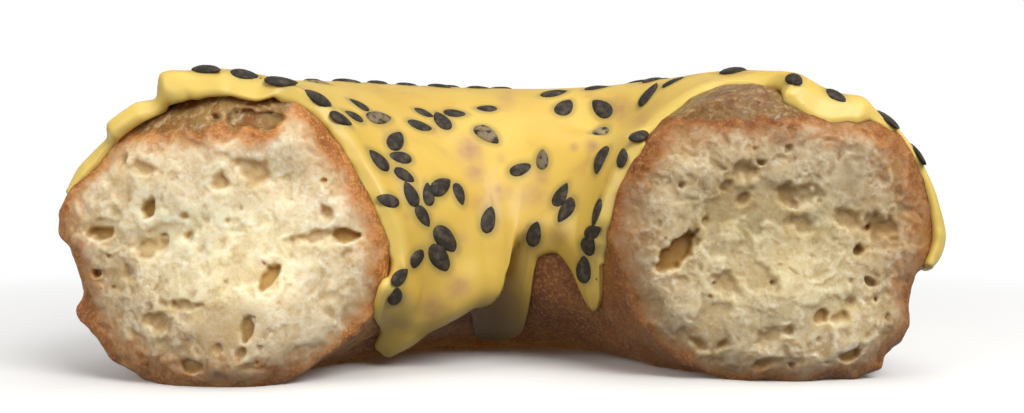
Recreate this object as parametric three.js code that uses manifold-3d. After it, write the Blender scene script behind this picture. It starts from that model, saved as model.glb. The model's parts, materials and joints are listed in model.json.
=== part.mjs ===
// Half of an iced ring doughnut, torn in two, with black sesame seeds set in its icing.
// Millimetres, +Z up. The two torn ends face -Y, and the dough lies on its flat underside.
// A ring angle runs from 0 at the right-hand end, over +Y at the back, to 180 at the left-hand end.
// A section angle runs round the dough: 0 outside, 90 on top, 180 at the hole, 270 underneath.
import * as THREE from "three";
import { mergeVertices } from "three/addons/utils/BufferGeometryUtils.js";
import Module from "manifold-3d";

const wasm = await Module();
wasm.setup();

// Dough: a ring with a rounded, slightly square section and a flat foot
const RING_RADIUS = 27.4;
const HALF_WIDTH = 16.0;
const HALF_HEIGHT = 15.0;
const UPPER_SQUARENESS = 1.9;
const LOWER_SQUARENESS = 2.4;
const FOOT_CUT = 0.8;
const CENTRE_HEIGHT = HALF_HEIGHT - FOOT_CUT;
// Uneven rising: waves along the ring, waves round the section, share of the radius, phase
const LUMPS = [
  { along: 3, around: 1, share: 0.018, phase: 0.4 },
  { along: 5, around: 2, share: 0.014, phase: 2.1 },
  { along: 2, around: 3, share: 0.014, phase: 1.2 },
  { along: 7, around: -3, share: 0.01, phase: 4.0 },
];
// Swellings and dents of the skin: where they are and how far they spread in degrees, and their height
const SWELLS = [
  { ring: 128, spread: 48, section: 188, width: 62, height: 2.4 },
  { ring: 24, spread: 40, section: 182, width: 70, height: 1.3 },
  { ring: 50, spread: 26, section: 134, width: 26, height: -1.4 },
  { ring: 44, spread: 40, section: 96, width: 40, height: 1.0 },
  { ring: 10, spread: 30, section: 108, width: 30, height: 0.8 },
  { ring: 0, spread: 26, section: 72, width: 26, height: -1.5 },
  { ring: 142, spread: 34, section: 98, width: 50, height: 0.9 },
  { ring: 180, spread: 46, section: 154, width: 38, height: -1.8 },
  { ring: 180, spread: 40, section: 6, width: 26, height: 1.5 },
  { ring: 180, spread: 50, section: 320, width: 46, height: 1.1 },
  { ring: 180, spread: 44, section: 236, width: 38, height: -1.6 },
  { ring: 90, spread: 70, section: 238, width: 40, height: -1.2 },
  { ring: 0, spread: 40, section: 314, width: 26, height: 0.8 },
  { ring: 0, spread: 34, section: 18, width: 40, height: -1.5 },
  { ring: 0, spread: 30, section: 340, width: 24, height: -1.4 },
];

// Torn ends: how far the crumb stands forward, and how far the crust is torn back round it
const CRUMB_DOME = 2.2;
const RIM_ROUND = 1.3;
const RIM_START = 0.76;
const TOP_RECESS = 1.4;
const TOP_RECESS_FROM = 0.6;
const TOP_RECESS_TO = 0.84;
const FOOT_FROM = 0.1;
const FOOT_REACH = 14;
const CRAGS = [
  { size: 6.2, height: 1.1 },
  { size: 2.9, height: 0.6 },
];
// The largest bubbles that the tear has opened: out from the middle, up from the middle, radius, depth
const RIGHT_BUBBLES = [
  { out: -10.4, up: -0.6, radius: 3.1, depth: 3.4 },
  { out: 3.4, up: 2.1, radius: 2.0, depth: 1.3 },
  { out: 3.6, up: -7.1, radius: 1.8, depth: 1.5 },
  { out: 6.6, up: -11.0, radius: 1.8, depth: 1.5 },
  { out: -2.9, up: 7.6, radius: 2.2, depth: 1.1 },
];
const LEFT_BUBBLES = [
  { out: 7.0, up: 3.1, radius: 1.9, depth: 2.0 },
  { out: 12.3, up: 1.0, radius: 2.0, depth: 1.9 },
  { out: 7.8, up: -1.2, radius: 2.4, depth: 1.6 },
  { out: -4.9, up: -3.2, radius: 2.0, depth: 2.3 },
  { out: -11.6, up: 0.8, radius: 1.9, depth: 2.4 },
  { out: -2.4, up: -8.1, radius: 1.9, depth: 1.6 },
  { out: -3.9, up: 6.4, radius: 2.8, depth: 1.4 },
];
// The icing's broken edge at each end: section angle, and how far forward of the end's plane it reaches
const RIGHT_EDGE = [
  [0, 0.2], [14, 0.9], [34, -0.3], [54, -0.3], [66, 1.3], [82, 1.2], [96, -6.0],
  [122, -6.0], [140, -2.0], [165, -3.2], [178, -2.8], [187, -0.8], [200, -1.2],
];
const LEFT_EDGE = [
  [10, -1.0], [40, -1.2], [47, 0.6], [58, 0.5], [66, -1.0], [76, 1.5], [106, 1.3],
  [122, -2.0], [150, -2.4], [185, -2.6], [200, -0.6], [212, -1.2],
];
// How thick the icing is beside each broken edge: section angle, and share of the full thickness
const RIGHT_COAT = [
  [0, 0.9], [14, 1.0], [30, 0.45], [56, 0.45], [66, 1.2], [82, 1.1], [94, 0.5], [120, 0.5], [140, 0.8],
];
const LEFT_COAT = [
  [10, 0.35], [40, 0.35], [47, 0.6], [58, 0.6], [67, 0.5], [76, 1.9], [84, 1.6], [100, 1.0], [124, 0.9],
];
const ENDS = {
  right: {
    ring: 0, inward: 1, seed: 3, edgeSeed: 31, foot: 0.5,
    bubbles: RIGHT_BUBBLES, edge: RIGHT_EDGE, coat: RIGHT_COAT,
  },
  left: {
    ring: 180, inward: -1, seed: 8, edgeSeed: 47, foot: 3.2,
    bubbles: LEFT_BUBBLES, edge: LEFT_EDGE, coat: LEFT_COAT,
  },
};

// Icing: a set coat with drips at its two edges and a broken edge at each torn end
const ICING_GAP = 0.65;
const ICING_THICKNESS = 1.1;
const ICING_EDGE = 0.35;
const ICING_ROUNDING = 3.0;
const ICING_FLOOR = 0.9;
const BEAD = 0.4;
const BROKEN_RAGGED = 0.5;
const BROKEN_WAVE = 14;
const COAT_REACH = 9;
const OUTER_EDGE = 4;
const INNER_EDGE = 189;
// Drips: ring angle, half width along the ring, and how far each runs down, all in degrees
const OUTER_DRIPS = [
  { ring: 4, width: 13, drop: 17 },
  { ring: 31, width: 12, drop: 9 },
  { ring: 58, width: 14, drop: 22 },
  { ring: 84, width: 11, drop: 6 },
  { ring: 107, width: 15, drop: 19 },
  { ring: 136, width: 12, drop: 12 },
  { ring: 176, width: 24, drop: -13 },
];
const INNER_DRIPS = [
  { ring: 38, width: 15, drop: 20 },
  { ring: 89, width: 27, drop: 42 },
  { ring: 118, width: 26, drop: 26 },
  { ring: 141, width: 20, drop: 42 },
  { ring: 165, width: 24, drop: 30 },
];

// Sesame seeds: flat drops, pointed at one end, half sunk in the icing
const SEED_LENGTH = 3.2;
const SEED_SHORTEST = 0.8;
const SEED_LONGEST = 1.15;
const SEED_WIDTH_SHARE = 0.6;
const SEED_THICKNESS_SHARE = 0.32;
const SEED_TAPER = 0.55;
const SEED_EDGE_MARGIN = 2.0;
const SEED_END_MARGIN = 1.0;
const SEED_SPACING = 2.3;
// The front view that the front seeds are told in: where it is taken from, and its middle and scale in pixels
const VIEW = { distance: 122, height: 21, tilt: 1.65, pan: 0.32, column: 512, row: 206.5, scale: 1234.5 };
// Seeds at the front: column and row in that view, which way the point leans in degrees, and length in pixels
const FRONT_SEEDS = [
  [208, 77, -5, 28], [245, 77, -12, 31], [248, 82, -15, 24], [280, 89, -3, 35], [280, 97, 10, 20],
  [317, 97, 152, 33], [304, 110, 30, 18], [319, 83, -8, 24], [347, 81, -3, 28], [378, 81, -3, 28],
  [359, 105, 148, 22], [341, 120, -25, 25], [353, 116, 155, 17], [379, 117, 4, 24], [396, 141, 60, 20],
  [400, 158, 170, 25], [378, 160, 136, 31], [404, 173, -30, 24], [411, 194, 114, 28], [420, 195, 95, 18],
  [423, 217, -58, 22], [388, 200, 165, 20], [417, 258, 48, 25], [395, 275, 45, 16], [388, 296, 80, 18],
  [407, 81, -3, 20], [440, 85, -5, 36], [479, 88, -2, 25], [424, 114, -22, 16], [420, 126, -12, 27],
  [442, 121, 120, 24], [455, 114, -5, 26], [486, 109, 176, 20], [487, 134, -37, 29], [521, 170, 21, 25],
  [437, 190, 36, 23], [459, 195, -72, 21], [488, 219, 75, 28], [446, 241, -47, 34], [440, 256, -54, 33],
  [534, 233, 75, 26], [544, 250, 88, 26], [555, 94, 12, 31], [564, 107, 52, 28], [597, 88, 6, 26],
  [602, 109, 138, 27], [648, 94, 55, 30], [601, 133, 45, 27], [542, 159, 90, 21], [601, 161, -108, 29],
  [626, 160, 88, 19], [643, 138, 52, 25], [561, 195, 62, 30], [565, 205, -125, 31], [597, 211, -108, 30],
  [604, 233, 28, 18], [589, 245, 62, 18], [589, 269, 85, 29], [580, 284, -82, 28], [673, 82, 25, 24],
  [734, 72, 3, 40], [654, 81, 10, 20], [795, 84, -30, 14], [835, 100, -28, 26], [886, 125, -38, 32],
  [917, 156, -45, 32],
];
// Seeds that the front view doesn't show fall by a rule, apart from each other and some of them in pairs
const BACK_SEEDS = 38;
const BACK_DRAWS = 20260;
const BACK_TRIES = 6000;
const BACK_OUTERMOST = 16;
const BACK_INNERMOST = 100;
const BACK_PAIR_SHARE = 0.42;
const BACK_PAIR_REACH = 3.6;

// Mesh fineness
const SECTION_STEPS = 44;
const RING_STEPS = 36;
const FACE_RINGS = 10;
const ICING_ALONG = 36;
const ICING_ACROSS = 21;
const EDGE_FINENESS = 0.3;
const SPOT_STEP = 0.5;
const SLIVER = 0.03;
const SKIN_STEP = 0.5;

const lerp = THREE.MathUtils.lerp;
const radians = THREE.MathUtils.degToRad;
const degrees = THREE.MathUtils.radToDeg;
const clamp = THREE.MathUtils.clamp;

// Rises smoothly from 0 to 1 as x goes from 0 to 1.
function ease(x) {
  const t = clamp(x, 0, 1);
  return t * t * (3 - 2 * t);
}

// A smooth hump, 1 at 0 and nothing beyond -1 and 1.
function hump(x) {
  return Math.abs(x) < 1 ? 0.5 + 0.5 * Math.cos(Math.PI * x) : 0;
}

// Smallest turn between two angles in degrees.
function turn(a, b) {
  return ((a - b + 540) % 360) - 180;
}

// Smooth reading of a table of [x, value] pairs, level beyond its two ends.
function reading(table, x) {
  let value = table[0][1];
  for (let i = 1; i < table.length; i++) {
    const from = table[i - 1][0];
    value = lerp(value, table[i][1], ease((x - from) / (table[i][0] - from)));
  }
  return value;
}

// Repeatable value from 0 to 1 for each point of a square lattice.
function lattice(column, row, seed) {
  const mixed = Math.sin(column * 127.1 + row * 311.7 + seed * 74.7) * 43758.5453;
  return mixed - Math.floor(mixed);
}

// Smooth uneven surface from -1 to 1, with one rise or fall for each unit of x and y.
function uneven(x, y, seed) {
  const column = Math.floor(x);
  const row = Math.floor(y);
  const across = ease(x - column);
  const up = ease(y - row);
  const low = lerp(lattice(column, row, seed), lattice(column + 1, row, seed), across);
  const high = lerp(lattice(column, row + 1, seed), lattice(column + 1, row + 1, seed), across);
  return 2 * lerp(low, high, up) - 1;
}

// Repeatable random draws from 0 to 1.
function draws(start) {
  let state = start;
  return () => {
    state = (Math.imul(state, 1664525) + 1013904223) >>> 0;
    return state / 4294967296;
  };
}

// Offset of the dough's skin from the middle of its section, outwards and upwards.
function section(ring, around) {
  const theta = radians(ring);
  const phi = radians(around);
  const c = Math.cos(phi);
  const s = Math.sin(phi);
  const power = lerp(LOWER_SQUARENESS, UPPER_SQUARENESS, 0.5 + 0.5 * s);
  const corner = (Math.abs(c) ** power + Math.abs(s) ** power) ** (-1 / power);
  let lump = 1;
  for (const l of LUMPS) lump += l.share * Math.sin(l.along * theta + l.around * phi + l.phase);
  let swell = 0;
  for (const p of SWELLS) {
    swell += p.height * hump((ring - p.ring) / p.spread) * hump(turn(around, p.section) / p.width);
  }
  const scale = corner * lump;
  return { out: (HALF_WIDTH * scale + swell) * c, up: (HALF_HEIGHT * scale + swell) * s };
}

// A point of the ring from its ring angle and its offset from the middle of the section.
function place(theta, out, up) {
  const radius = RING_RADIUS + out;
  const height = Math.max(CENTRE_HEIGHT + up, 0);
  return new THREE.Vector3(radius * Math.cos(theta), radius * Math.sin(theta), height);
}

function skin(ring, around) {
  const { out, up } = section(ring, around);
  return place(radians(ring), out, up);
}

// Outward normal of the skin, with the directions along the ring and round the section.
function skinAxes(ring, around) {
  const along = skin(ring + SKIN_STEP, around).sub(skin(ring - SKIN_STEP, around)).normalize();
  const over = skin(ring, around + SKIN_STEP).sub(skin(ring, around - SKIN_STEP)).normalize();
  const normal = new THREE.Vector3().crossVectors(along, over).normalize();
  return { along, over: over.crossVectors(normal, along), normal };
}

// How far a torn end stands forward, at a share of the way from the middle of the section to the skin.
function tear(end, out, up, share) {
  let forward = CRUMB_DOME * (1 - share * share);
  forward -= RIM_ROUND * ease((share - RIM_START) / (1 - RIM_START));
  const height = up / HALF_HEIGHT;
  forward -= TOP_RECESS * ease((height - TOP_RECESS_FROM) / (TOP_RECESS_TO - TOP_RECESS_FROM));
  forward += end.foot * ease((-height - FOOT_FROM) / (1 - FOOT_FROM)) * hump(out / FOOT_REACH);
  for (const crag of CRAGS) forward += crag.height * uneven(out / crag.size, up / crag.size, end.seed);
  for (const bubble of end.bubbles) {
    const away = Math.hypot(out - bubble.out, up - bubble.up) / bubble.radius;
    forward -= bubble.depth * Math.max(0, 1 - away * away);
  }
  return forward;
}

// Ring angle, in radians, of a point that a torn end carries forward past its plane.
function tornAngle(end, forward, out) {
  return radians(end.ring) - (end.inward * forward) / (RING_RADIUS + out);
}

// A point of a torn end, at a share of the way from the middle of the section to the skin.
function facePoint(end, around, share) {
  const rim = section(end.ring, around);
  const out = rim.out * share;
  const up = rim.up * share;
  return place(tornAngle(end, tear(end, out, up, share), out), out, up);
}

// Ring angle in degrees at which the skin starts or ends, once a torn end has moved it.
function rimAngle(end, around) {
  const { out, up } = section(end.ring, around);
  return degrees(tornAngle(end, tear(end, out, up, 1), out));
}

// The dough is a sphere's grid bent into the half ring: each pole is the middle of a torn end.
function doughGeometry() {
  const rows = 2 * FACE_RINGS + RING_STEPS;
  const geometry = new THREE.SphereGeometry(1, SECTION_STEPS, rows);
  const position = geometry.getAttribute("position");
  for (let i = 0; i < position.count; i++) {
    const row = Math.floor(i / (SECTION_STEPS + 1));
    const around = ((i % (SECTION_STEPS + 1)) % SECTION_STEPS) * (360 / SECTION_STEPS);
    const ringRow = row - FACE_RINGS;
    let point;
    if (ringRow <= 0) point = facePoint(ENDS.right, around, row / FACE_RINGS);
    else if (ringRow >= RING_STEPS) point = facePoint(ENDS.left, around, (rows - row) / FACE_RINGS);
    else {
      const ring = lerp(rimAngle(ENDS.right, around), rimAngle(ENDS.left, around), ringRow / RING_STEPS);
      point = skin(ring, around);
    }
    position.setXYZ(i, point.x, point.y, point.z);
  }
  return geometry;
}

// Section angle of the icing's edge: the plain edge, carried further down by each drip near it.
function edgeAngle(plain, drips, ring, sign) {
  let angle = plain;
  for (const drip of drips) angle += sign * drip.drop * hump((ring - drip.ring) / drip.width);
  return angle;
}

const outerEdge = (ring) => edgeAngle(OUTER_EDGE, OUTER_DRIPS, ring, -1);
const innerEdge = (ring) => edgeAngle(INNER_EDGE, INNER_DRIPS, ring, 1);

// Arc length along the section for a turn of the section angle in degrees.
const arc = (turned) => radians(turned) * HALF_WIDTH;

// Quarter-round rise of the icing's top from its edge.
function rounding(distance) {
  const inside = clamp(distance / ICING_ROUNDING, 0, 1);
  return Math.sqrt(1 - (1 - inside) ** 2);
}

// Ring angle in degrees of the icing's broken edge at one end.
function brokenAngle(end, around) {
  const ragged = BROKEN_RAGGED * uneven(around / BROKEN_WAVE, 0.5, end.edgeSeed);
  return degrees(tornAngle(end, reading(end.edge, around) + ragged, section(end.ring, around).out));
}

// Distance along the ring from the icing's broken edge at one end.
function fromBroken(end, ring, around) {
  const turned = end.inward * (ring - brokenAngle(end, around));
  return radians(turned) * (RING_RADIUS + section(ring, around).out);
}

// Thickness of the icing.
function icingThickness(ring, around) {
  const fromOuter = arc(around - outerEdge(ring));
  const fromInner = arc(innerEdge(ring) - around);
  const bead = 1 + BEAD * hump((fromInner - ICING_ROUNDING) / ICING_ROUNDING);
  let thickness = ICING_THICKNESS * bead * rounding(fromOuter) * rounding(fromInner);
  for (const end of Object.values(ENDS)) {
    const near = ease(1 - Math.max(0, fromBroken(end, ring, around)) / COAT_REACH);
    thickness *= lerp(1, reading(end.coat, around), near);
  }
  return Math.max(ICING_EDGE, thickness);
}

// A point of the icing: level 0 is its underside and level 1 its top.
function icingPoint(ring, around, level) {
  const height = ICING_GAP + level * icingThickness(ring, around);
  const point = skin(ring, around);
  point.addScaledVector(skinAxes(ring, around).normal, height);
  point.z = Math.max(point.z, ICING_FLOOR);
  return point;
}

// The icing is a box's grid laid over the dough: long side along the ring, short side over the top.
function icingGeometry() {
  const geometry = new THREE.BoxGeometry(1, 1, 1, ICING_ALONG, ICING_ACROSS, 1);
  const position = geometry.getAttribute("position");
  for (let i = 0; i < position.count; i++) {
    const along = position.getX(i) + 0.5;
    const even = position.getY(i) + 0.5;
    const across = lerp(even, 0.5 - 0.5 * Math.cos(Math.PI * even), EDGE_FINENESS);
    const start = brokenAngle(ENDS.right, lerp(outerEdge(0), innerEdge(0), across));
    const stop = brokenAngle(ENDS.left, lerp(outerEdge(180), innerEdge(180), across));
    const ring = lerp(start, stop, along);
    const around = lerp(outerEdge(ring), innerEdge(ring), across);
    const point = icingPoint(ring, around, position.getZ(i) + 0.5);
    position.setXYZ(i, point.x, point.y, point.z);
  }
  return geometry;
}

// True where the icing is wide and thick enough to hold a seed.
function holdsSeed(ring, around) {
  const nearEnd = Object.values(ENDS).some((end) => fromBroken(end, ring, around) < SEED_END_MARGIN);
  const nearOuter = arc(around - outerEdge(ring)) < SEED_EDGE_MARGIN;
  const nearInner = arc(innerEdge(ring) - around) < SEED_EDGE_MARGIN;
  return !(nearEnd || nearOuter || nearInner);
}

// A place on the icing's top, with its directions.
function spotAt(ring, around) {
  return { ring, around, point: icingPoint(ring, around, 1), ...skinAxes(ring, around) };
}

const VIEWPOINT = new THREE.Vector3(0, -VIEW.distance, VIEW.height);
const VIEW_TURN = new THREE.Euler(-radians(VIEW.tilt), 0, -radians(VIEW.pan), "ZXY");
const VIEW_RIGHT = new THREE.Vector3(1, 0, 0).applyEuler(VIEW_TURN);
const VIEW_AHEAD = new THREE.Vector3(0, 1, 0).applyEuler(VIEW_TURN);
const VIEW_UP = new THREE.Vector3(0, 0, 1).applyEuler(VIEW_TURN);

// Column and row of a point in the front view.
function seen(point) {
  const line = point.clone().sub(VIEWPOINT);
  const scale = VIEW.scale / line.dot(VIEW_AHEAD);
  return new THREE.Vector2(VIEW.column + scale * line.dot(VIEW_RIGHT), VIEW.row - scale * line.dot(VIEW_UP));
}

// Places on the icing, each with where the front view sees it, or null where it faces away.
function icingSpots() {
  const spots = [];
  for (let ring = 0; ring <= 180; ring += SPOT_STEP) {
    for (let around = Math.ceil(outerEdge(ring)); around < innerEdge(ring); around += 2 * SPOT_STEP) {
      if (!holdsSeed(ring, around)) continue;
      const spot = spotAt(ring, around);
      spot.pixel = spot.normal.dot(VIEWPOINT.clone().sub(spot.point)) > 0 ? seen(spot.point) : null;
      spots.push(spot);
    }
  }
  return spots;
}

// A seed at the front: the nearest free place that the view shows, turned so that it is seen to lean as told.
function frontSeed(spots, seeds, [column, row, lean, length]) {
  const told = new THREE.Vector2(column, row);
  let spot = null;
  let nearest = Infinity;
  for (const other of spots) {
    const away = other.pixel ? other.pixel.distanceTo(told) : Infinity;
    if (away >= nearest || crowded(seeds, other.point)) continue;
    nearest = away;
    spot = other;
  }
  const along = seen(spot.point.clone().add(spot.along)).sub(spot.pixel);
  const over = seen(spot.point.clone().add(spot.over)).sub(spot.pixel);
  const wanted = new THREE.Vector2(Math.cos(radians(lean)), -Math.sin(radians(lean)));
  const side = Math.sign(along.cross(over));
  const spin = Math.atan2(side * along.cross(wanted), side * wanted.cross(over));
  const shown = along.multiplyScalar(Math.cos(spin)).addScaledVector(over, Math.sin(spin)).length();
  const size = clamp(length / shown / SEED_LENGTH, SEED_SHORTEST, SEED_LONGEST);
  return { ...spot, spin, size };
}

// True where a seed at a point would touch one that is already there.
function crowded(seeds, point) {
  return seeds.some((other) => other.point.distanceTo(point) < SEED_SPACING);
}

// Seeds that the front view doesn't show: some fall alone and some beside the one before.
function scatterBack(seeds) {
  const draw = draws(BACK_DRAWS);
  const wanted = seeds.length + BACK_SEEDS;
  const reach = degrees(BACK_PAIR_REACH / HALF_WIDTH);
  let last = { ring: 90, around: 90 };
  for (let tries = 0; tries < BACK_TRIES && seeds.length < wanted; tries++) {
    const beside = draw() < BACK_PAIR_SHARE;
    const first = draw();
    const second = draw();
    const spin = 2 * Math.PI * draw();
    const size = lerp(SEED_SHORTEST, SEED_LONGEST, draw());
    const ring = beside ? last.ring + reach * (first - 0.5) : 180 * first;
    const alone = lerp(BACK_OUTERMOST, BACK_INNERMOST, second);
    const around = beside ? last.around + 2 * reach * (second - 0.5) : alone;
    if (!holdsSeed(ring, around)) continue;
    const spot = spotAt(ring, around);
    if (spot.normal.dot(VIEWPOINT.clone().sub(spot.point)) > 0) continue;
    if (crowded(seeds, spot.point)) continue;
    last = { ...spot, spin, size };
    seeds.push(last);
  }
}

// One seed: a sphere drawn out into a flat drop, pointed at one end, lying on the icing.
function seedGeometry(seed) {
  const geometry = new THREE.SphereGeometry(0.5, 5, 3);
  const length = SEED_LENGTH * seed.size;
  const width = length * SEED_WIDTH_SHARE;
  const thickness = length * SEED_THICKNESS_SHARE;
  const position = geometry.getAttribute("position");
  for (let i = 0; i < position.count; i++) {
    const narrow = 1 - SEED_TAPER * Math.max(0, position.getY(i));
    position.setX(i, position.getX(i) * width * narrow);
    position.setZ(i, position.getZ(i) * thickness * narrow);
    position.setY(i, position.getY(i) * length);
  }
  const lengthways = seed.along.clone().multiplyScalar(Math.cos(seed.spin));
  lengthways.addScaledVector(seed.over, Math.sin(seed.spin));
  const sideways = new THREE.Vector3().crossVectors(lengthways, seed.normal);
  const turned = new THREE.Matrix4().makeBasis(sideways, lengthways, seed.normal);
  return geometry.applyMatrix4(turned.setPosition(seed.point));
}

// A closed geometry with its shared vertices merged, as a solid that can be joined.
function solid(geometry) {
  const bare = geometry.clone();
  bare.deleteAttribute("normal");
  bare.deleteAttribute("uv");
  const merged = mergeVertices(bare, 1e-4);
  const vertProperties = Float32Array.from(merged.getAttribute("position").array);
  const triVerts = Uint32Array.from(merged.index.array);
  return new wasm.Manifold(new wasm.Mesh({ numProp: 3, vertProperties, triVerts }));
}

// The largest body of a joined solid: a hollow that the seeds have sealed is filled, and a loose scrap dropped.
function largestBody(joined) {
  return joined.decompose().reduce((most, body) => (body.volume() > most.volume() ? body : most));
}

// A joined solid as a geometry again.
function geometryOf(joined) {
  const mesh = joined.getMesh();
  const geometry = new THREE.BufferGeometry();
  geometry.setAttribute("position", new THREE.BufferAttribute(Float32Array.from(mesh.vertProperties), 3));
  geometry.setIndex(new THREE.BufferAttribute(Uint32Array.from(mesh.triVerts), 1));
  geometry.computeVertexNormals();
  return geometry;
}

function doughPiece() {
  const fried = new THREE.MeshStandardMaterial({ color: 0xc99a5f, roughness: 0.85, metalness: 0 });
  const dough = new THREE.Mesh(doughGeometry(), fried);
  dough.name = "dough";
  return dough;
}

function icingPiece() {
  const spots = icingSpots();
  const seeds = [];
  for (const told of FRONT_SEEDS) seeds.push(frontSeed(spots, seeds, told));
  scatterBack(seeds);
  let coat = solid(icingGeometry());
  for (const seed of seeds) coat = coat.add(solid(seedGeometry(seed)));
  const set = new THREE.MeshStandardMaterial({ color: 0xe9bd4e, roughness: 0.35, metalness: 0 });
  const icing = new THREE.Mesh(geometryOf(largestBody(coat.simplify(SLIVER))), set);
  icing.name = "icing";
  return icing;
}

// The doughnut, moved so that the origin is under the middle of its box, at table level
const doughnut = new THREE.Group();
doughnut.add(doughPiece(), icingPiece());
const box = new THREE.Box3().setFromObject(doughnut, true);
const middle = box.getCenter(new THREE.Vector3());
for (const piece of doughnut.children) piece.position.set(-middle.x, -middle.y, -box.min.z);

export default doughnut;
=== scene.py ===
"""Half of an iced ring doughnut, torn in two, with black sesame seeds set in its icing.

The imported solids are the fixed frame. One operator sets the stage, and each of the others makes one piece,
or a group of like pieces, in place of the solids: the crust, the two torn ends, the seeds and the icing.
Sizes are in metres.

A ring angle runs from 0 at the right-hand end, over +Y at the back, to 180 at the left-hand end.
A section angle runs round the dough: 0 outside, 90 on top, 180 at the hole, 270 underneath.
"""

import dataclasses
import functools
import json
import math

import bpy
import numpy as np
import openvdb
from bpy.props import FloatProperty, FloatVectorProperty, IntProperty, PointerProperty
from mathutils import Matrix, Vector


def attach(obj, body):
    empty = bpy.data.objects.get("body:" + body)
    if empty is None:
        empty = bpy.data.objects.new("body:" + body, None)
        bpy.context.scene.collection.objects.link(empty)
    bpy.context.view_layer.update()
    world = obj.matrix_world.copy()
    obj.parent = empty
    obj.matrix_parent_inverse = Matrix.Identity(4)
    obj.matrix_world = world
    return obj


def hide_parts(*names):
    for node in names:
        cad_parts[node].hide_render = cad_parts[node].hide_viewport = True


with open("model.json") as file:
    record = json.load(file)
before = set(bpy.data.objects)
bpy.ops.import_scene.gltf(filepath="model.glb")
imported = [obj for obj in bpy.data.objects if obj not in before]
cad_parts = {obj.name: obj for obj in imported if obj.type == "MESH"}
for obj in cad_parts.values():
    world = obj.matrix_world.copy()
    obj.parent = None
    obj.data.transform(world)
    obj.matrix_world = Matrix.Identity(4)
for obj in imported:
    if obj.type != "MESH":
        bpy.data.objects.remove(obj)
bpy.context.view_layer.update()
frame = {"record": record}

bl_info = {
    "name": "Iced Doughnut Half",
    "version": (1, 0, 0),
    "blender": (4, 5, 0),
    "location": "View3D > Sidebar > Doughnut",
    "description": "Makes the torn half of an iced ring doughnut with sesame seeds",
    "category": "Mesh",
}

MM = 0.001
BODY = "root"

# Uneven rising: waves along the ring, waves round the section, share of the radius, phase
LUMPS = (
    (3, 1, 0.018, 0.4),
    (5, 2, 0.014, 2.1),
    (2, 3, 0.014, 1.2),
    (7, -3, 0.010, 4.0),
)
# Swellings and dents of the skin: ring angle and spread, section angle and spread, height
SWELLS = (
    (128, 48, 188, 62, 2.4 * MM),
    (24, 40, 182, 70, 1.3 * MM),
    (50, 26, 134, 26, -1.4 * MM),
    (44, 40, 96, 40, 1.0 * MM),
    (10, 30, 108, 30, 0.8 * MM),
    (0, 26, 72, 26, -1.5 * MM),
    (142, 34, 98, 50, 0.9 * MM),
    (180, 46, 154, 38, -1.8 * MM),
    (180, 40, 6, 26, 1.5 * MM),
    (180, 50, 320, 46, 1.1 * MM),
    (180, 44, 236, 38, -1.6 * MM),
    (90, 70, 238, 40, -1.2 * MM),
    (0, 40, 314, 26, 0.8 * MM),
    (0, 34, 18, 40, -0.7 * MM),
    (0, 30, 340, 24, -1.4 * MM),
)
# Crags of a torn end: size and height
CRAGS = ((6.2 * MM, 0.75 * MM), (2.9 * MM, 0.25 * MM))
# The largest bubbles that the tear has opened: out and up from the middle, half length, half width and depth
# in millimetres, and how far the length leans from level in degrees
RIGHT_BUBBLES = (
    (-10.6, -1.2, 2.5, 1.1, 1.52, 43),
    (7.3, -1.0, 0.6, 0.5, 0.99, 60),
    (8.6, -4.1, 0.7, 0.4, 0.81, -30),
    (-1.3, -4.1, 0.4, 0.3, 0.67, 40),
    (3.5, -7.4, 0.8, 0.6, 0.85, 40),
    (6.8, -11.4, 1.2, 0.7, 0.9, 25),
    (6.1, 2.1, 1.4, 1.1, 0.62, -15),
    (1.7, 1.6, 1.6, 1.0, 0.6, -15),
    (-5.9, -4.2, 1.9, 1.0, 0.62, -25),
    (-1.9, -9.5, 1.6, 1.0, 0.62, 15),
    (-2.5, 7.6, 0.6, 0.4, 0.62, 0),
    (-5.9, 5.4, 0.8, 0.5, 0.6, 30),
    (-10.3, 5.4, 0.5, 0.4, 0.58, 60),
    (-1.9, -12.2, 1.2, 0.6, 0.72, 10),
    (9.2, -5.9, 0.3, 0.2, 0.62, 80),
    (-4.4, 6.8, 1.4, 0.9, 0.67, 10),
    (0.6, 4.5, 2.6, 1.0, 0.65, -5),
    (-4.2, 4.1, 0.8, 0.6, 0.69, 30),
    (9.4, 1.4, 1.4, 1.8, 0.67, 80),
    (5.6, -7.6, 1.0, 0.7, 0.72, 20),
    (-8.2, -10.2, 1.1, 0.6, 0.69, -20),
    (-6.0, -10.4, 0.8, 0.5, 0.72, 30),
    (0.4, -8.8, 0.8, 0.6, 0.72, 0),
)
LEFT_BUBBLES = (
    (7.4, 2.9, 1.1, 0.7, 1.08, 105),
    (12.4, 0.8, 1.3, 0.7, 1.03, -8),
    (7.6, -0.8, 1.8, 1.1, 0.62, 8),
    (9.2, -3.2, 0.9, 0.9, 0.6, 0),
    (3.2, 0.5, 0.6, 0.55, 0.67, 90),
    (-4.6, -3.5, 1.3, 0.6, 1.03, -52),
    (-11.7, 0.6, 1.1, 0.65, 1.17, 5),
    (-10.0, 2.6, 0.9, 0.7, 0.62, 60),
    (-2.8, -8.3, 1.2, 0.6, 0.94, -78),
    (-2.1, -10.6, 0.8, 0.5, 0.62, -60),
    (3.6, -6.1, 2.2, 0.55, 0.67, 3),
    (-3.3, 6.6, 2.6, 1.1, 0.65, 22),
    (7.8, 7.2, 1.5, 0.8, 0.62, 15),
    (2.8, -12.0, 1.1, 0.6, 0.76, 0),
    (12.8, -3.3, 0.4, 0.35, 0.81, 0),
    (0.0, 5.7, 1.0, 0.8, 0.67, 0),
    (-8.3, 0.3, 2.0, 0.6, 0.67, -10),
    (6.0, -7.8, 1.6, 0.9, 0.67, 10),
    (3.6, 2.4, 0.7, 0.5, 0.62, 0),
    (-2.6, 11.9, 2.9, 0.9, 0.9, 4),
)
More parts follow.
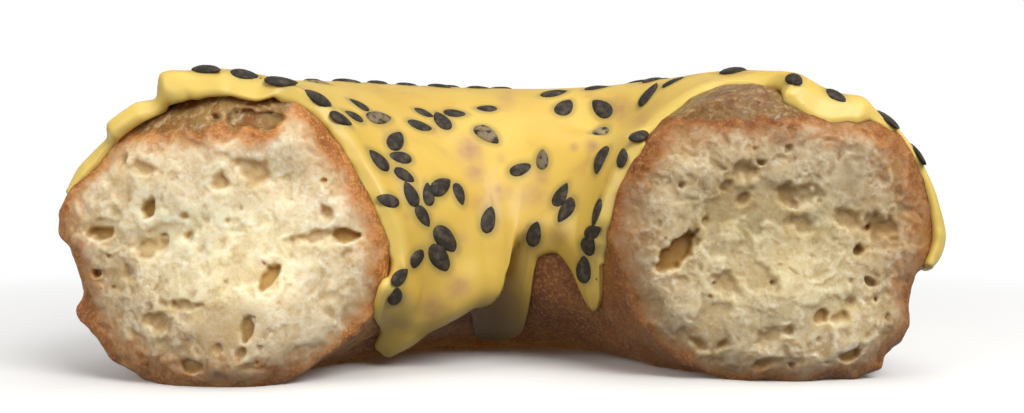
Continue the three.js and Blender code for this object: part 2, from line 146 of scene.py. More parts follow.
# Pieces broken off the rim of a torn end: section angle and spread, and depth as a share of a usual bite
RIGHT_BITES = ((339, 12, 0.9), (318, 9, 0.5))
LEFT_BITES = ((349, 14, 1.3), (331, 8, -0.3))
# Drips of the icing: ring angle, half width along the ring, how far each runs down, in degrees
OUTER_DRIPS = (
    (4, 13, 17), (31, 12, 9), (58, 14, 22), (84, 11, 6), (107, 15, 19), (136, 12, 12), (176, 24, -13),
)
# The icing's lip inside the hole: ring angle and section angle
INNER_LIP = (
    (0, 189), (24, 190), (31, 203), (40, 209), (50, 193), (60, 187), (70, 189), (79, 213), (85, 232),
    (92, 241), (99, 237), (106, 215), (113, 206), (122, 209), (129, 214), (134, 224), (140, 233), (146, 230),
    (152, 220), (160, 215), (170, 211), (180, 205),
)
# The icing's broken edge at each end: section angle, and millimetres forward of the end's plane
RIGHT_EDGE = (
    (0, -0.6), (14, -0.6), (34, -0.5), (50, -0.3), (60, 1.1), (86, 1.2), (99, -6.0),
    (133, -6.0), (144, -2.0), (160, -1.8), (172, -1.8), (180, -3.0), (188, -4.6), (200, -6.0),
)
LEFT_EDGE = (
    (10, -1.0), (40, -1.0), (46, 0.7), (57, 0.6), (64, -0.6), (72, 1.1), (106, 0.9),
    (122, -2.0), (150, -2.4), (185, -2.6), (198, -0.9), (207, -3.0), (216, -5.0), (236, -6.5),
)
# How thick the icing is beside each broken edge: section angle, and share of the full thickness
RIGHT_COAT = (
    (0, 0.7), (14, 0.4), (30, 0.35), (51, 0.5), (60, 1.6), (86, 1.7), (99, 0.35), (132, 0.4), (144, 0.8),
    (176, 0.8), (196, 0.5),
)
LEFT_COAT = (
    (10, 0.4), (26, 0.8), (40, 0.6), (46, 1.1), (57, 1.1), (63, 0.8), (70, 2.3), (82, 1.6), (100, 1.1),
    (124, 0.9), (170, 0.9), (196, 0.7), (216, 0.35),
)
# How far the icing hangs over the dough's torn rim: section angle and millimetres
RIGHT_DROOP = ((52, 0.0), (62, 1.2), (76, 1.9), (86, 1.5), (97, 0.0))
LEFT_DROOP = ((63, 0.0), (72, 0.7), (84, 1.1), (101, 1.4), (112, 0.0))
# The lower edge of the thick curtain of icing on the left of the hole: ring angle and section angle
CURTAIN = (
    (70, 176), (80, 180.5), (88, 185.5), (94, 190), (101, 196), (107, 201), (113, 206), (120, 210),
    (127, 215), (135, 240),
)
# Folds of the icing: ring angle and spread, section angle and spread, height
FOLDS = ((50, 28, 121, 18, -1.0 * MM), (58, 32, 143, 16, 0.8 * MM))
# Thin spots of the icing, some of them painted shade: column and row in the camera's picture, reach in
# pixels, how thin
THIN_AND_SHADED_SPOTS = (
    (470, 150, 24, 0.95), (475, 172, 18, 0.8), (618, 108, 24, 0.8), (640, 120, 14, 0.5), (498, 190, 9, 0.8),
    (541, 178, 16, 0.7), (533, 196, 24, 0.6), (501, 158, 9, 0.4), (574, 147, 8, 0.8), (592, 146, 11, 1.0),
    (603, 130, 10, 0.7), (612, 181, 11, 0.6), (614, 203, 14, 0.5), (407, 215, 9, 0.5), (462, 238, 10, 0.5),
    (459, 287, 20, 1.0), (434, 309, 24, 0.75), (560, 234, 16, 0.6), (507, 99, 16, 0.5), (352, 98, 14, 0.3),
)
# Seeds at the front: column and row in the camera's picture, which way the point leans in degrees,
# and length in pixels
FRONT_SEEDS = (
    (208, 77, -5, 28), (245, 77, -12, 31), (248, 82, -15, 24), (280, 89, -3, 35), (280, 97, 10, 20),
    (317, 97, 152, 33), (304, 110, 30, 18), (319, 83, -8, 24), (347, 81, -3, 28), (378, 81, -3, 28),
    (359, 105, 148, 22), (341, 120, -25, 25), (353, 116, 155, 17), (379, 117, 4, 24), (396, 141, 60, 20),
    (400, 158, 170, 25), (378, 160, 136, 31), (404, 173, -30, 24), (411, 194, 114, 28), (420, 195, 95, 18),
    (423, 217, -58, 22), (388, 200, 165, 20), (417, 258, 48, 25), (395, 275, 45, 16), (388, 296, 80, 18),
    (407, 81, -3, 20), (440, 85, -5, 36), (479, 88, -2, 25), (424, 114, -22, 16), (420, 126, -12, 27),
    (442, 121, 120, 24), (455, 114, -5, 26), (486, 109, 176, 20), (487, 134, -37, 29), (521, 170, 21, 25),
    (437, 190, 36, 23), (459, 195, -72, 21), (488, 219, 75, 28), (446, 241, -47, 34), (440, 256, -54, 33),
    (534, 233, 75, 26), (544, 250, 88, 26), (555, 94, 12, 31), (564, 107, 52, 28), (597, 88, 6, 26),
    (602, 109, 138, 27), (648, 94, 55, 30), (601, 133, 45, 27), (542, 159, 90, 21), (601, 161, -108, 29),
    (626, 160, 88, 19), (643, 138, 52, 25), (561, 195, 62, 30), (565, 205, -125, 31), (597, 211, -108, 30),
    (604, 233, 28, 18), (589, 245, 62, 18), (589, 269, 85, 29), (580, 284, -82, 28), (673, 82, 25, 24),
    (734, 72, 3, 40), (654, 81, 10, 20), (795, 84, -30, 14), (835, 100, -28, 26), (886, 125, -38, 32),
    (917, 156, -45, 32),
)
# Seeds at the front that lie under a film of icing: column, row, how much it hides
FILMED = {(319, 83): 0.6, (379, 117): 0.5, (487, 134): 0.55, (601, 133): 0.75, (542, 159): 0.3}


def linear(hex_colour):
    """An sRGB hex colour as linear red, green and blue."""
    channels = [int(hex_colour[i:i + 2], 16) / 255 for i in (1, 3, 5)]
    return [c / 12.92 if c <= 0.04045 else ((c + 0.055) / 1.055) ** 2.4 for c in channels]


def length(name, millimetres, description):
    """A setting that is a length, told in millimetres."""
    return FloatProperty(name=name, description=description, default=millimetres * MM, unit="LENGTH",
                         precision=5)


def figure(name, value, description):
    """A setting that is a plain number."""
    return FloatProperty(name=name, description=description, default=value)


def share(name, value, description):
    """A setting that is a share of something."""
    return FloatProperty(name=name, description=description, default=value, subtype="FACTOR")


def colour(name, hex_colour, description):
    """A setting that is a colour, told as an sRGB hex value."""
    return FloatVectorProperty(name=name, description=description, default=linear(hex_colour),
                               subtype="COLOR")


class DoughSettings(bpy.types.PropertyGroup):
    ring_radius: length("Ring radius", 27.4, "Hole axis to the middle of the dough")
    half_width: length("Half width", 16.0, "Half the width of the dough's section")
    half_height: length("Half height", 15.0, "Half the height of the dough's section")
    upper_squareness: figure("Upper squareness", 1.9, "Power of the top's curve")
    lower_squareness: figure("Lower squareness", 2.4, "Power of the bottom's curve")
    foot_cut: length("Foot cut", 0.8, "How much of the round underside is flat")
    dome: length("Crumb dome", 2.2, "How far the crumb stands forward in the middle of a torn end")
    rim_round: length("Rim round", 1.3, "How far the crust is torn back round a torn end")
    foot_reach: length("Foot reach", 14.0, "Half the width of the foot that stands forward at a torn end")
    voxel: length("Crumb voxel", 0.17, "Fineness of the torn ends")
    joint: length("Joint", 7.2, "How far behind the torn plane an end piece meets the crust")
    soak_line: length("Soak line", 12.1, "How far above the middle the syrup of the icing has soaked down to")
    crust: colour("Crust", "#9c5c24", "Fried skin")
    tan: colour("Tan", "#c68644", "Just under the fried skin")
    beige: colour("Beige", "#dcc196", "Crumb near the skin")
    cream: colour("Cream", "#f3e7c0", "Middle of the crumb")
    flake: colour("Flake", "#f9f2da", "Torn walls between the pores")
    grain: colour("Grain", "#dba768", "Pale grains of the fried skin")
    pore: colour("Pore", "#d6c294", "Tint of the pores")
    cell: colour("Cell", "#c49a52", "Smooth floors of opened bubbles")
    # Tint of the darker end, and of the painted shade in the hole and on the left end's foot
    darkened: colour("Baked", "#d5ccba", "Tint of the end that is more baked")
    amber: colour("Amber", "#9c7c4a", "Dough soaked by the icing")
    rust: colour("Rust", "#8e5e2e", "Soaked dough where it is browner")


class IcingSettings(bpy.types.PropertyGroup):
    gap: length("Gap", 0.1, "Between the dough and the underside of the icing")
    thickness: length("Thickness", 1.4, "Thickness of the icing on top")
    edge: length("Edge", 0.3, "Thickness at the lip of the icing")
    rounding: length("Rounding", 3.0, "How far from its lip the icing reaches its full thickness")
    floor: length("Floor", 0.9, "Lowest that a drip may hang")
    bead: share("Bead", 0.4, "How much thicker the icing is at the end of a drip")
    ragged: length("Ragged", 0.3, "How uneven the broken edge is")
    broken_round: length("Broken round", 1.6, "How far from a broken edge the icing is rounded off")
    coat_reach: length("Coat reach", 9.0, "How far from a broken edge the icing is thicker or thinner")
    broken_bulge: length("Broken bulge", 0.5, "How far the middle of the broken edge stands forward")
    crumbled: length("Crumbled", 0.12, "How rough the broken edge is")
    press: length("Press", 0.7, "How far the underside goes into the rim of the dough at a broken edge")
    press_reach: length("Press reach", 2.8, "How far from a broken edge that starts")
    droop_reach: length("Droop reach", 2.6, "How far from a broken edge the icing starts to hang over")
    curtain: length("Curtain", 1.5, "How much thicker the curtain on the left of the hole is at its edge")
    curtain_reach: length("Curtain reach", 10.0, "How far above its edge the curtain starts to thicken")
    curtain_edge: length("Curtain edge", 0.9, "How far the curtain's rounded edge falls back")
    run: share("Run", 0.4, "Thickness of the run of icing behind the curtain, as a share")
    outer_edge: figure("Outer edge", 4, "Section angle of the outer lip")
    stain_reach: length("Stain reach", 0.8, "How far from a seed the icing is stained and drawn up")
    seed_rise: length("Seed rise", 0.06, "How far the icing is drawn up round a seed")
    body: colour("Body", "#dcbb58", "Set icing")
    deep: colour("Deep", "#d1aa4a", "Icing where it is thick or shaded")
    thin: colour("Thin", "#b2885e", "Icing so thin that the crust shows through")
    # The run's dark colour is partly painted shade, as the run lies in the curtain's shade
    glaze: colour("Glaze", "#6b4a1e", "Thin run of icing over the dark wall of the hole")
    halo: colour("Halo", "#a08a4a", "Icing stained by a seed beside it")
    lip: colour("Lip", "#e2c66c", "Freshly broken icing")
    speck: colour("Speck", "#6a5228", "Specks of seed dust")


class SeedSettings(bpy.types.PropertyGroup):
    size: length("Length", 3.2, "Length of a seed")
    shortest: share("Shortest", 0.8, "Size of the smallest seed")
    longest: figure("Longest", 1.15, "Size of the largest seed")
    width: share("Width", 0.56, "Width as a share of the length")
    thickness: share("Thickness", 0.2, "Thickness as a share of the length")
    taper: share("Taper", 0.5, "How much narrower the pointed end is")
    spacing: length("Spacing", 1.9, "Least distance between two seeds")
    edge_margin: length("Edge margin", 1.8, "Least distance from a lip of the icing")
    end_margin: length("End margin", 0.5, "Least distance from a broken edge")
    facing: figure("Facing", -0.2, "Least slope towards the camera of a seed at the front")
    turned: figure("Turned", 8, "Pixels nearer that a place beyond the skyline must be")
    stray: figure("Stray", 12, "Pixels that a seed at the front may stray")
    back_count: IntProperty(name="Back count", description="Number of seeds that the camera doesn't see",
                            default=38)
    pair_share: share("Pair share", 0.42, "Share of those that fall beside the one before")
    pair_reach: length("Pair reach", 3.6, "How far such a seed falls from the one before")
    black: colour("Black", "#2d2720", "Seed coat")
    worn: colour("Worn", "#5a4f3f", "Seed coat where it is rubbed")
    film: colour("Film", "#a5906c", "Seed under a film of icing")


class StageSettings(bpy.types.PropertyGroup):
    distance: length("Camera distance", 122.0, "Camera to the torn plane")
    height: length("Camera height", 21.0, "Camera above the table")
    lens: FloatProperty(name="Lens", description="Focal length", default=43.4, subtype="DISTANCE_CAMERA")
    tilt: FloatProperty(name="Tilt", description="How far the camera looks down", default=math.radians(1.65),
                        subtype="ANGLE")
    pan: FloatProperty(name="Pan", description="How far the camera looks to the right",
                       default=math.radians(0.32), subtype="ANGLE")
    floor: colour("Floor", "#f6f5f3", "Matt white table")
    fade_from: length("Fade from", 60.0, "Where the table starts to fade into the white round it")
    fade_to: length("Fade to", 150.0, "Where the table has faded into the white round it")


class DoughnutSettings(bpy.types.PropertyGroup):
    dough: PointerProperty(type=DoughSettings)
    icing: PointerProperty(type=IcingSettings)
    seeds: PointerProperty(type=SeedSettings)
    stage: PointerProperty(type=StageSettings)


@dataclasses.dataclass(eq=False)
class TornEnd:
    """One of the two torn ends: which side it is on, how it tore and where its icing broke."""
    name: str
    # Its ring angle, and 1 if ring angles rise from there into the dough or -1 if they fall
    ring: int
    inward: int
    # Starts of the unevenness of its crumb and of the icing's broken edge
    seed: int
    edge_seed: int
    # How far its foot and its brow stand forward
    foot: float
    brow: float
    # How much darker it is, and how much browner and darker it gets outwards and upwards, partly painted
    # shade
    tone: float
    browned_and_shaded: tuple
    # Middle and half width of the part that syrup has soaked, and how much lower it has soaked there
    soak: tuple
    bites: tuple
    bubbles: tuple
    edge: tuple
    coat: tuple
    droop: tuple


RIGHT = TornEnd(
    name="right", ring=0, inward=1, seed=3, edge_seed=31, foot=0.5 * MM, brow=1.8 * MM, tone=1.0,
    browned_and_shaded=(0.8, 0.5), soak=(-5.2 * MM, 5.6 * MM, 0.0), bites=RIGHT_BITES, bubbles=RIGHT_BUBBLES,
    edge=RIGHT_EDGE, coat=RIGHT_COAT, droop=RIGHT_DROOP,
)
LEFT = TornEnd(
    name="left", ring=180, inward=-1, seed=8, edge_seed=47, foot=3.2 * MM, brow=0.6 * MM, tone=0.0,
    browned_and_shaded=(0.6, -0.85), soak=(2.2 * MM, 6.2 * MM, 1.2 * MM), bites=LEFT_BITES, bubbles=LEFT_BUBBLES,
    edge=LEFT_EDGE, coat=LEFT_COAT, droop=LEFT_DROOP,
)
ENDS = (RIGHT, LEFT)


# Smooth shapes and repeatable unevenness

def ease(x):
    """Rises smoothly from 0 to 1 as x goes from 0 to 1."""
    t = np.clip(x, 0, 1)
    return t * t * (3 - 2 * t)


def hump(x):
    """A smooth hump, 1 at 0 and nothing beyond -1 and 1."""
    return np.where(np.abs(x) < 1, 0.5 + 0.5 * np.cos(np.pi * x), 0.0)


def turn(a, b):
    """Smallest turn between two angles in degrees."""
    return (a - b + 540) % 360 - 180


def mix(a, b, t):
    return a + (b - a) * t


def reading(table, x):
    """Smooth reading of a table of x and value, level beyond its two ends."""
    value = table[0][1] + 0 * x
    for (start, _), (stop, target) in zip(table, table[1:]):
        value = mix(value, target, ease((x - start) / (stop - start)))
    return value


def curve(table, x):
    """Smooth reading of a table of x and value that keeps its slope through each point."""
    at, value = np.array(table, dtype=float).T
    gap = np.diff(at)
    rise = np.diff(value) / gap
    both = np.maximum(rise[1:] * rise[:-1], 0)
    slope = np.zeros(len(at))
    slope[1:-1] = 2 * both / np.where(both > 0, rise[1:] + rise[:-1], 1)
    i = np.clip(np.searchsorted(at, x) - 1, 0, len(gap) - 1)
    t = np.clip((x - at[i]) / gap[i], 0, 1)
    bent = gap[i] * t * (1 - t) * (slope[i] * (1 - t) - slope[i + 1] * t)
    return mix(value[i], value[i + 1], ease(t)) + bent


# Steps of a wave for each column, row, layer and seed, and a factor that leaves only its last digits
LATTICE_STEPS = (127.1, 311.7, 191.3, 74.7)
LATTICE_FACTOR = 43758.5453


def lattice(column, row, layer, seed):
    """Repeatable value from 0 to 1 for each point of a lattice."""
    by_column, by_row, by_layer, by_seed = LATTICE_STEPS
    wave = np.sin(column * by_column + row * by_row + layer * by_layer + seed * by_seed)
    mixed = wave * LATTICE_FACTOR
    return mixed - np.floor(mixed)


def uneven(x, y, seed):
    """Smooth uneven surface from -1 to 1, with one rise or fall for each unit of x and y."""
    column = np.floor(x)
    row = np.floor(y)
    across = ease(x - column)
    low = mix(lattice(column, row, 0, seed), lattice(column + 1, row, 0, seed), across)
    high = mix(lattice(column, row + 1, 0, seed), lattice(column + 1, row + 1, 0, seed), across)
    return 2 * mix(low, high, ease(y - row)) - 1


def foam(x, y, seed):
    """Foam cut open: 0 in the middle of each cell and 1 on the walls between, one cell for each unit."""
    column = np.floor(x)
    row = np.floor(y)
    far = 9.0
    nearest = np.full(np.shape(x), far)
    second = nearest
    for i in (-1, 0, 1):
        for j in (-1, 0, 1):
            cell_x = column + i + lattice(column + i, row + j, 1, seed)
            cell_y = row + j + lattice(column + i, row + j, 2, seed)
            away = np.hypot(cell_x - x, cell_y - y)
            second = np.minimum(second, np.maximum(nearest, away))
            nearest = np.minimum(nearest, away)
    return 2 * nearest / (nearest + second)


def lumpy(points, size, seed):
    """Smooth uneven solid from -1 to 1, with one rise or fall for each size in each direction."""
    cell = np.floor(points / size)
    part = ease(points / size - cell)
    column, row, layer = np.moveaxis(cell, -1, 0)
    x, y, z = np.moveaxis(part, -1, 0)
    total = 0
    for i in (0, 1):
        for j in (0, 1):
            for k in (0, 1):
                weight = (x if i else 1 - x) * (y if j else 1 - y) * (z if k else 1 - z)
                total = total + weight * lattice(column + i, row + j, layer + k, seed)
    return 2 * total - 1


# The dough's form, the same as its solid's

def section(dough, ring, around):
    """Offset of the skin from the middle of the section, outwards and upwards."""
    theta = np.radians(ring)
    phi = np.radians(around)
    c = np.cos(phi)
    s = np.sin(phi)
    power = mix(dough.lower_squareness, dough.upper_squareness, 0.5 + 0.5 * s)
    corner = (np.abs(c) ** power + np.abs(s) ** power) ** (-1 / power)
    lump = 1
    for along, round_section, size, phase in LUMPS:
        lump = lump + size * np.sin(along * theta + round_section * phi + phase)
    swell = 0
    for at, spread, facing, width, height in SWELLS:
        swell = swell + height * hump((ring - at) / spread) * hump(turn(around, facing) / width)
    scale = corner * lump
    return (dough.half_width * scale + swell) * c, (dough.half_height * scale + swell) * s


def place(dough, theta, out, up):
    """Points of the ring from their ring angle in radians and their offset from the middle of the section."""
    radius = dough.ring_radius + out
    height = np.maximum(dough.half_height - dough.foot_cut + up, 0)
    return np.stack([radius * np.cos(theta), radius * np.sin(theta), height], axis=-1)


def skin(dough, ring, around):
    out, up = section(dough, ring, around)
    return place(dough, np.radians(ring), out, up)


def skin_radius(dough, ring, around):
    """Distance of the skin from the hole's axis."""
    return dough.ring_radius + section(dough, ring, around)[0]


def unit(vectors):
    return vectors / np.linalg.norm(vectors, axis=-1, keepdims=True)


def skin_axes(dough, ring, around):
    """Directions along the ring, over the section and out of the skin."""
    step = 0.5
    along = unit(skin(dough, ring + step, around) - skin(dough, ring - step, around))
    over = unit(skin(dough, ring, around + step) - skin(dough, ring, around - step))
    normal = unit(np.cross(along, over))
    return along, np.cross(normal, along), normal


# Relief of the torn ends and of the skin

# Where a torn face starts to fall back to its rim, as a part of the way from its middle to the skin
RIM_START = 0.76
# Height at which an end's foot passes into its brow, and how much height that takes, in half heights
WAIST = 0.1
WAIST_REACH = 0.7
# Ragged outline of an opened bubble: size, and share of its reach
BUBBLE_OUTLINE = ((1.1 * MM, 0.3), (0.5 * MM, 0.22))
# Reach of a bubble and width of its wall, in half lengths
BUBBLE_REACH = 1.2
STEEP_WALL = 0.45
GENTLE_WALL = 0.8
# The wall is steep where a bubble is deeper than so many millimetres
STEEP_DEPTH = 0.72
# Size and amount of the crumb's shifts to the side, and size and height of its soft swells
SHIFTING = (1.5 * MM, 0.5 * MM)
SWELLING = (3.2 * MM, 0.2 * MM)
# Hollows broken out of the crumb: size, depth and level, then size and weight of the parts of their outline
HOLLOWS = ((3.4 * MM, 0.33 * MM, -0.25), (1.5 * MM, 0.2 * MM, -0.2))
HOLLOW_PARTS = ((1, 1.0), (0.4, 0.4), (0.17, 0.2))
HOLLOW_SLOPE = 0.45
# How far the rest stands forward, as a share of the first depth
HOLLOW_REST = 0.3
# How rough the crumb is where it stands forward and in a hollow of full depth
ROUGH_CREST = 1.15
ROUGH_FLOOR = 0.7
FULL_HOLLOW = 0.5 * MM
# Cut pores: size and height, level of their middle, how open they are and how much that varies
FOAM = ((1.9 * MM, 0.15 * MM), (0.95 * MM, 0.14 * MM), (0.5 * MM, 0.11 * MM))
FOAM_LEVEL = 0.6
FOAM_OPEN = 0.65
FOAM_VARIES = 0.35
# Waves of the line that syrup has soaked down to: size and height
SOAK_WAVES = ((2.6 * MM, 0.7 * MM), (1.2 * MM, 0.6 * MM))
# How far that line has risen one millimetre beyond the soaked part
SOAK_RISE = 0.5 * MM
# Blisters and wrinkles of the fried skin: size, height and start
BLISTERS = ((2.4 * MM, 0.16 * MM, 11), (0.9 * MM, 0.07 * MM, 12))
# Starts of each kind of unevenness, beyond the end's own
SHIFT_SEED = 30
SWELL_SEED = 32
FOAM_SEED = 34
OPEN_SEED = 40
SOAK_SEED = 50
OUTLINE_SEED = 60
HOLLOW_SEED = 70
HOLLOW_SEEDS_APART = 9


def tear(dough, end, out, up, part):
    """How far a torn end stands forward, at a part of the way from the middle of the section to the skin."""
    height = up / dough.half_height
    forward = dough.dome * (1 - part * part) - dough.rim_round * ease((part - RIM_START) / (1 - RIM_START))
    forward = forward + end.brow * ease((height - WAIST) / WAIST_REACH)
    forward = forward + end.foot * ease((WAIST - height) / WAIST_REACH) * hump(out / dough.foot_reach)
    for size, high in CRAGS:
        forward = forward + high * uneven(out / size, up / size, end.seed)
    return forward


def opened(end, out, up):
    """How deep the largest bubbles lie open, with ragged outlines and nearly level floors."""
    depth = 0
    ragged = 0
    for number, (size, amount) in enumerate(BUBBLE_OUTLINE):
        ragged = ragged + amount * uneven(out / size, up / size, end.seed + OUTLINE_SEED + number)
    for bubble_out, bubble_up, long, wide, deep, lean in end.bubbles:
        turned = math.radians(lean)
        x = out - bubble_out * MM
        y = up - bubble_up * MM
        along = (x * math.cos(turned) + y * math.sin(turned)) / (long * MM)
        across = (y * math.cos(turned) - x * math.sin(turned)) / (wide * MM)
        away = np.hypot(along, across) + ragged
        wall = STEEP_WALL if deep > STEEP_DEPTH else GENTLE_WALL
        depth = np.maximum(depth, deep * MM * ease((BUBBLE_REACH - away) / wall))
    return depth


def torn_foam(end, out, up):
    """Swells, hollows and cut pores of the crumb: how far it stands forward, and the pores from -1 to 1."""
    size, amount = SHIFTING
    x = out + amount * uneven(out / size, up / size, end.seed + SHIFT_SEED)
    y = up + amount * uneven(out / size, up / size, end.seed + SHIFT_SEED + 1)
    size, height = SWELLING
    relief = height * uneven(x / size, y / size, end.seed + SWELL_SEED)
    sunk = 0
    for number, (size, drop, level) in enumerate(HOLLOWS):
        shape = 0
        for part, weight in HOLLOW_PARTS:
            reach = part * size
            start = end.seed + HOLLOW_SEED + HOLLOW_SEEDS_APART * number + weight
            shape = shape + weight * uneven(x / reach, y / reach, start)
        sunk = np.maximum(sunk, drop * ease((level - shape) / HOLLOW_SLOPE))
    relief = relief + HOLLOW_REST * HOLLOWS[0][1] - sunk
    rough = mix(ROUGH_CREST, ROUGH_FLOOR, ease(sunk / FULL_HOLLOW))
    pores = 0
    whole = 0
    for number, (size, height) in enumerate(FOAM):
        varied = uneven(x / (3 * size), y / (3 * size), end.seed + OPEN_SEED + number)
        cut = foam(x / size, y / size, end.seed + FOAM_SEED + number) - FOAM_LEVEL
        pores = pores + height * (FOAM_OPEN + FOAM_VARIES * varied) * cut
        whole = whole + height
    return relief + rough * pores, 2 * rough * pores / whole


def soak_limit(dough, end, out, up):
    """How far a place lies above the line that syrup has soaked down to."""
    middle, half, lower = end.soak
    beyond = np.maximum(np.abs(out - middle) - half, 0) / MM
    line = dough.soak_line - lower + SOAK_RISE * beyond ** 2
    (long, high), (short, low) = SOAK_WAVES
    waves = high * uneven(out / long, 0.5 + 0 * up, end.seed + SOAK_SEED)
    waves = waves + low * uneven(out / short, up / short, end.seed + SOAK_SEED + 1)
    return up - line + waves


def crust_relief(points):
    """Small blisters and wrinkles of the fried skin."""
    return sum(height * lumpy(points, size, seed) for size, height, seed in BLISTERS)


# Meshes

def ring_axis():
    """Where the axis of the hole stands in the frame, from the resting face under the back of the ring."""
    base = frame["record"]["mounts"][0]["pos_m"]
    radius = bpy.context.scene.doughnut.dough.ring_radius
    return np.array([base[0], base[1] - radius, 0])


def make_piece(name, points, faces, **attributes):
    """A mesh object from points round the hole's axis, with a value for each point of each attribute."""
    mesh = bpy.data.meshes.new(name)
    mesh.from_pydata((points + ring_axis()).astype(np.float32), [], faces)
    for attribute, values in attributes.items():
        mesh.attributes.new(attribute, "FLOAT", "POINT").data.foreach_set("value", values.astype(np.float32))
    mesh.shade_smooth()
    piece = bpy.data.objects.new(name, mesh)
    bpy.context.collection.objects.link(piece)
    return piece


def settle(piece, slot, *nodes):
    """Rides a finished piece on the doughnut's body, in place of its solids."""
    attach(piece, BODY)
    if nodes:
        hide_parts(*nodes)


def tube_faces(rows, columns):
    """Quads of a tube of rows, each closed round its columns, with a fan to a last point at each end."""
    grid = np.arange(rows * columns).reshape(rows, columns)
    nxt = np.roll(grid, -1, axis=1)
    quads = np.stack([grid[:-1], grid[1:], nxt[1:], nxt[:-1]], axis=-1).reshape(-1, 4)
    first = [[nxt[0, i], rows * columns, grid[0, i]] for i in range(columns)]
    last = [[grid[-1, i], rows * columns + 1, nxt[-1, i]] for i in range(columns)]
    return quads.tolist() + first + last


def block_faces(along, across, deep):
    """Corners and quads of the outside of a block of cells, with no corner twice."""
    quads = []
    size = np.array([along, across, deep])
    for axis in range(3):
        first, second = (axis + 1) % 3, (axis + 2) % 3
        p, q = np.meshgrid(np.arange(size[first]), np.arange(size[second]), indexing="ij")
        for end in (0, 1):
            corners = np.zeros((p.size, 4, 3), dtype=int)
            corners[:, :, axis] = end * size[axis]
            for corner, (dp, dq) in enumerate(((0, 0), (1, 0), (1, 1), (0, 1))):
                corners[:, corner, first] = (p + dp).ravel()
                corners[:, corner, second] = (q + dq).ravel()
            quads.append(corners if end else corners[:, ::-1])
    stacked = np.concatenate(quads).reshape(-1, 3)
    corners, places = np.unique(stacked, axis=0, return_inverse=True)
    return corners / size, places.reshape(-1, 4)


# Node trees

ATTRIBUTE = "ShaderNodeAttribute"
BLEND = "ShaderNodeMix"
COORDINATES = "ShaderNodeTexCoord"
MAP_RANGE = "ShaderNodeMapRange"
MATH = "ShaderNodeMath"
NAMED_ATTRIBUTE = "GeometryNodeInputNamedAttribute"
NOISE = "ShaderNodeTexNoise"
OUTPUT = "ShaderNodeOutputMaterial"
PRINCIPLED = "ShaderNodeBsdfPrincipled"


def add(tree, kind, inputs=None, **settings):
    """Adds a node with its settings, and gives each named input a value or a link."""
    made = tree.nodes.new(kind)
    for name, value in settings.items():
        setattr(made, name, value)
    for socket, value in (inputs or {}).items():
        if isinstance(value, bpy.types.NodeSocket):
            tree.links.new(value, made.inputs[socket])
        else:
            made.inputs[socket].default_value = value
    return made.outputs


def new_material(name):
    material = bpy.data.materials.new(name)
    material.use_nodes = True
    material.node_tree.nodes.clear()
    return material, material.node_tree


def rgba(colour_value):
    return (*colour_value, 1)


def per(millimetres):
    """Scale of a pattern that repeats once in so many millimetres."""
    return 1 / (millimetres * MM)


# Materials

# What each point of the dough keeps for its colour: depth under the skin, depth behind the plain tear, cut
# pores, how soaked it is and how much darker it is; pores and darkness are partly painted shade and light
DOUGH_VALUES = ("skin_depth", "hollow", "pores", "soak", "tone")


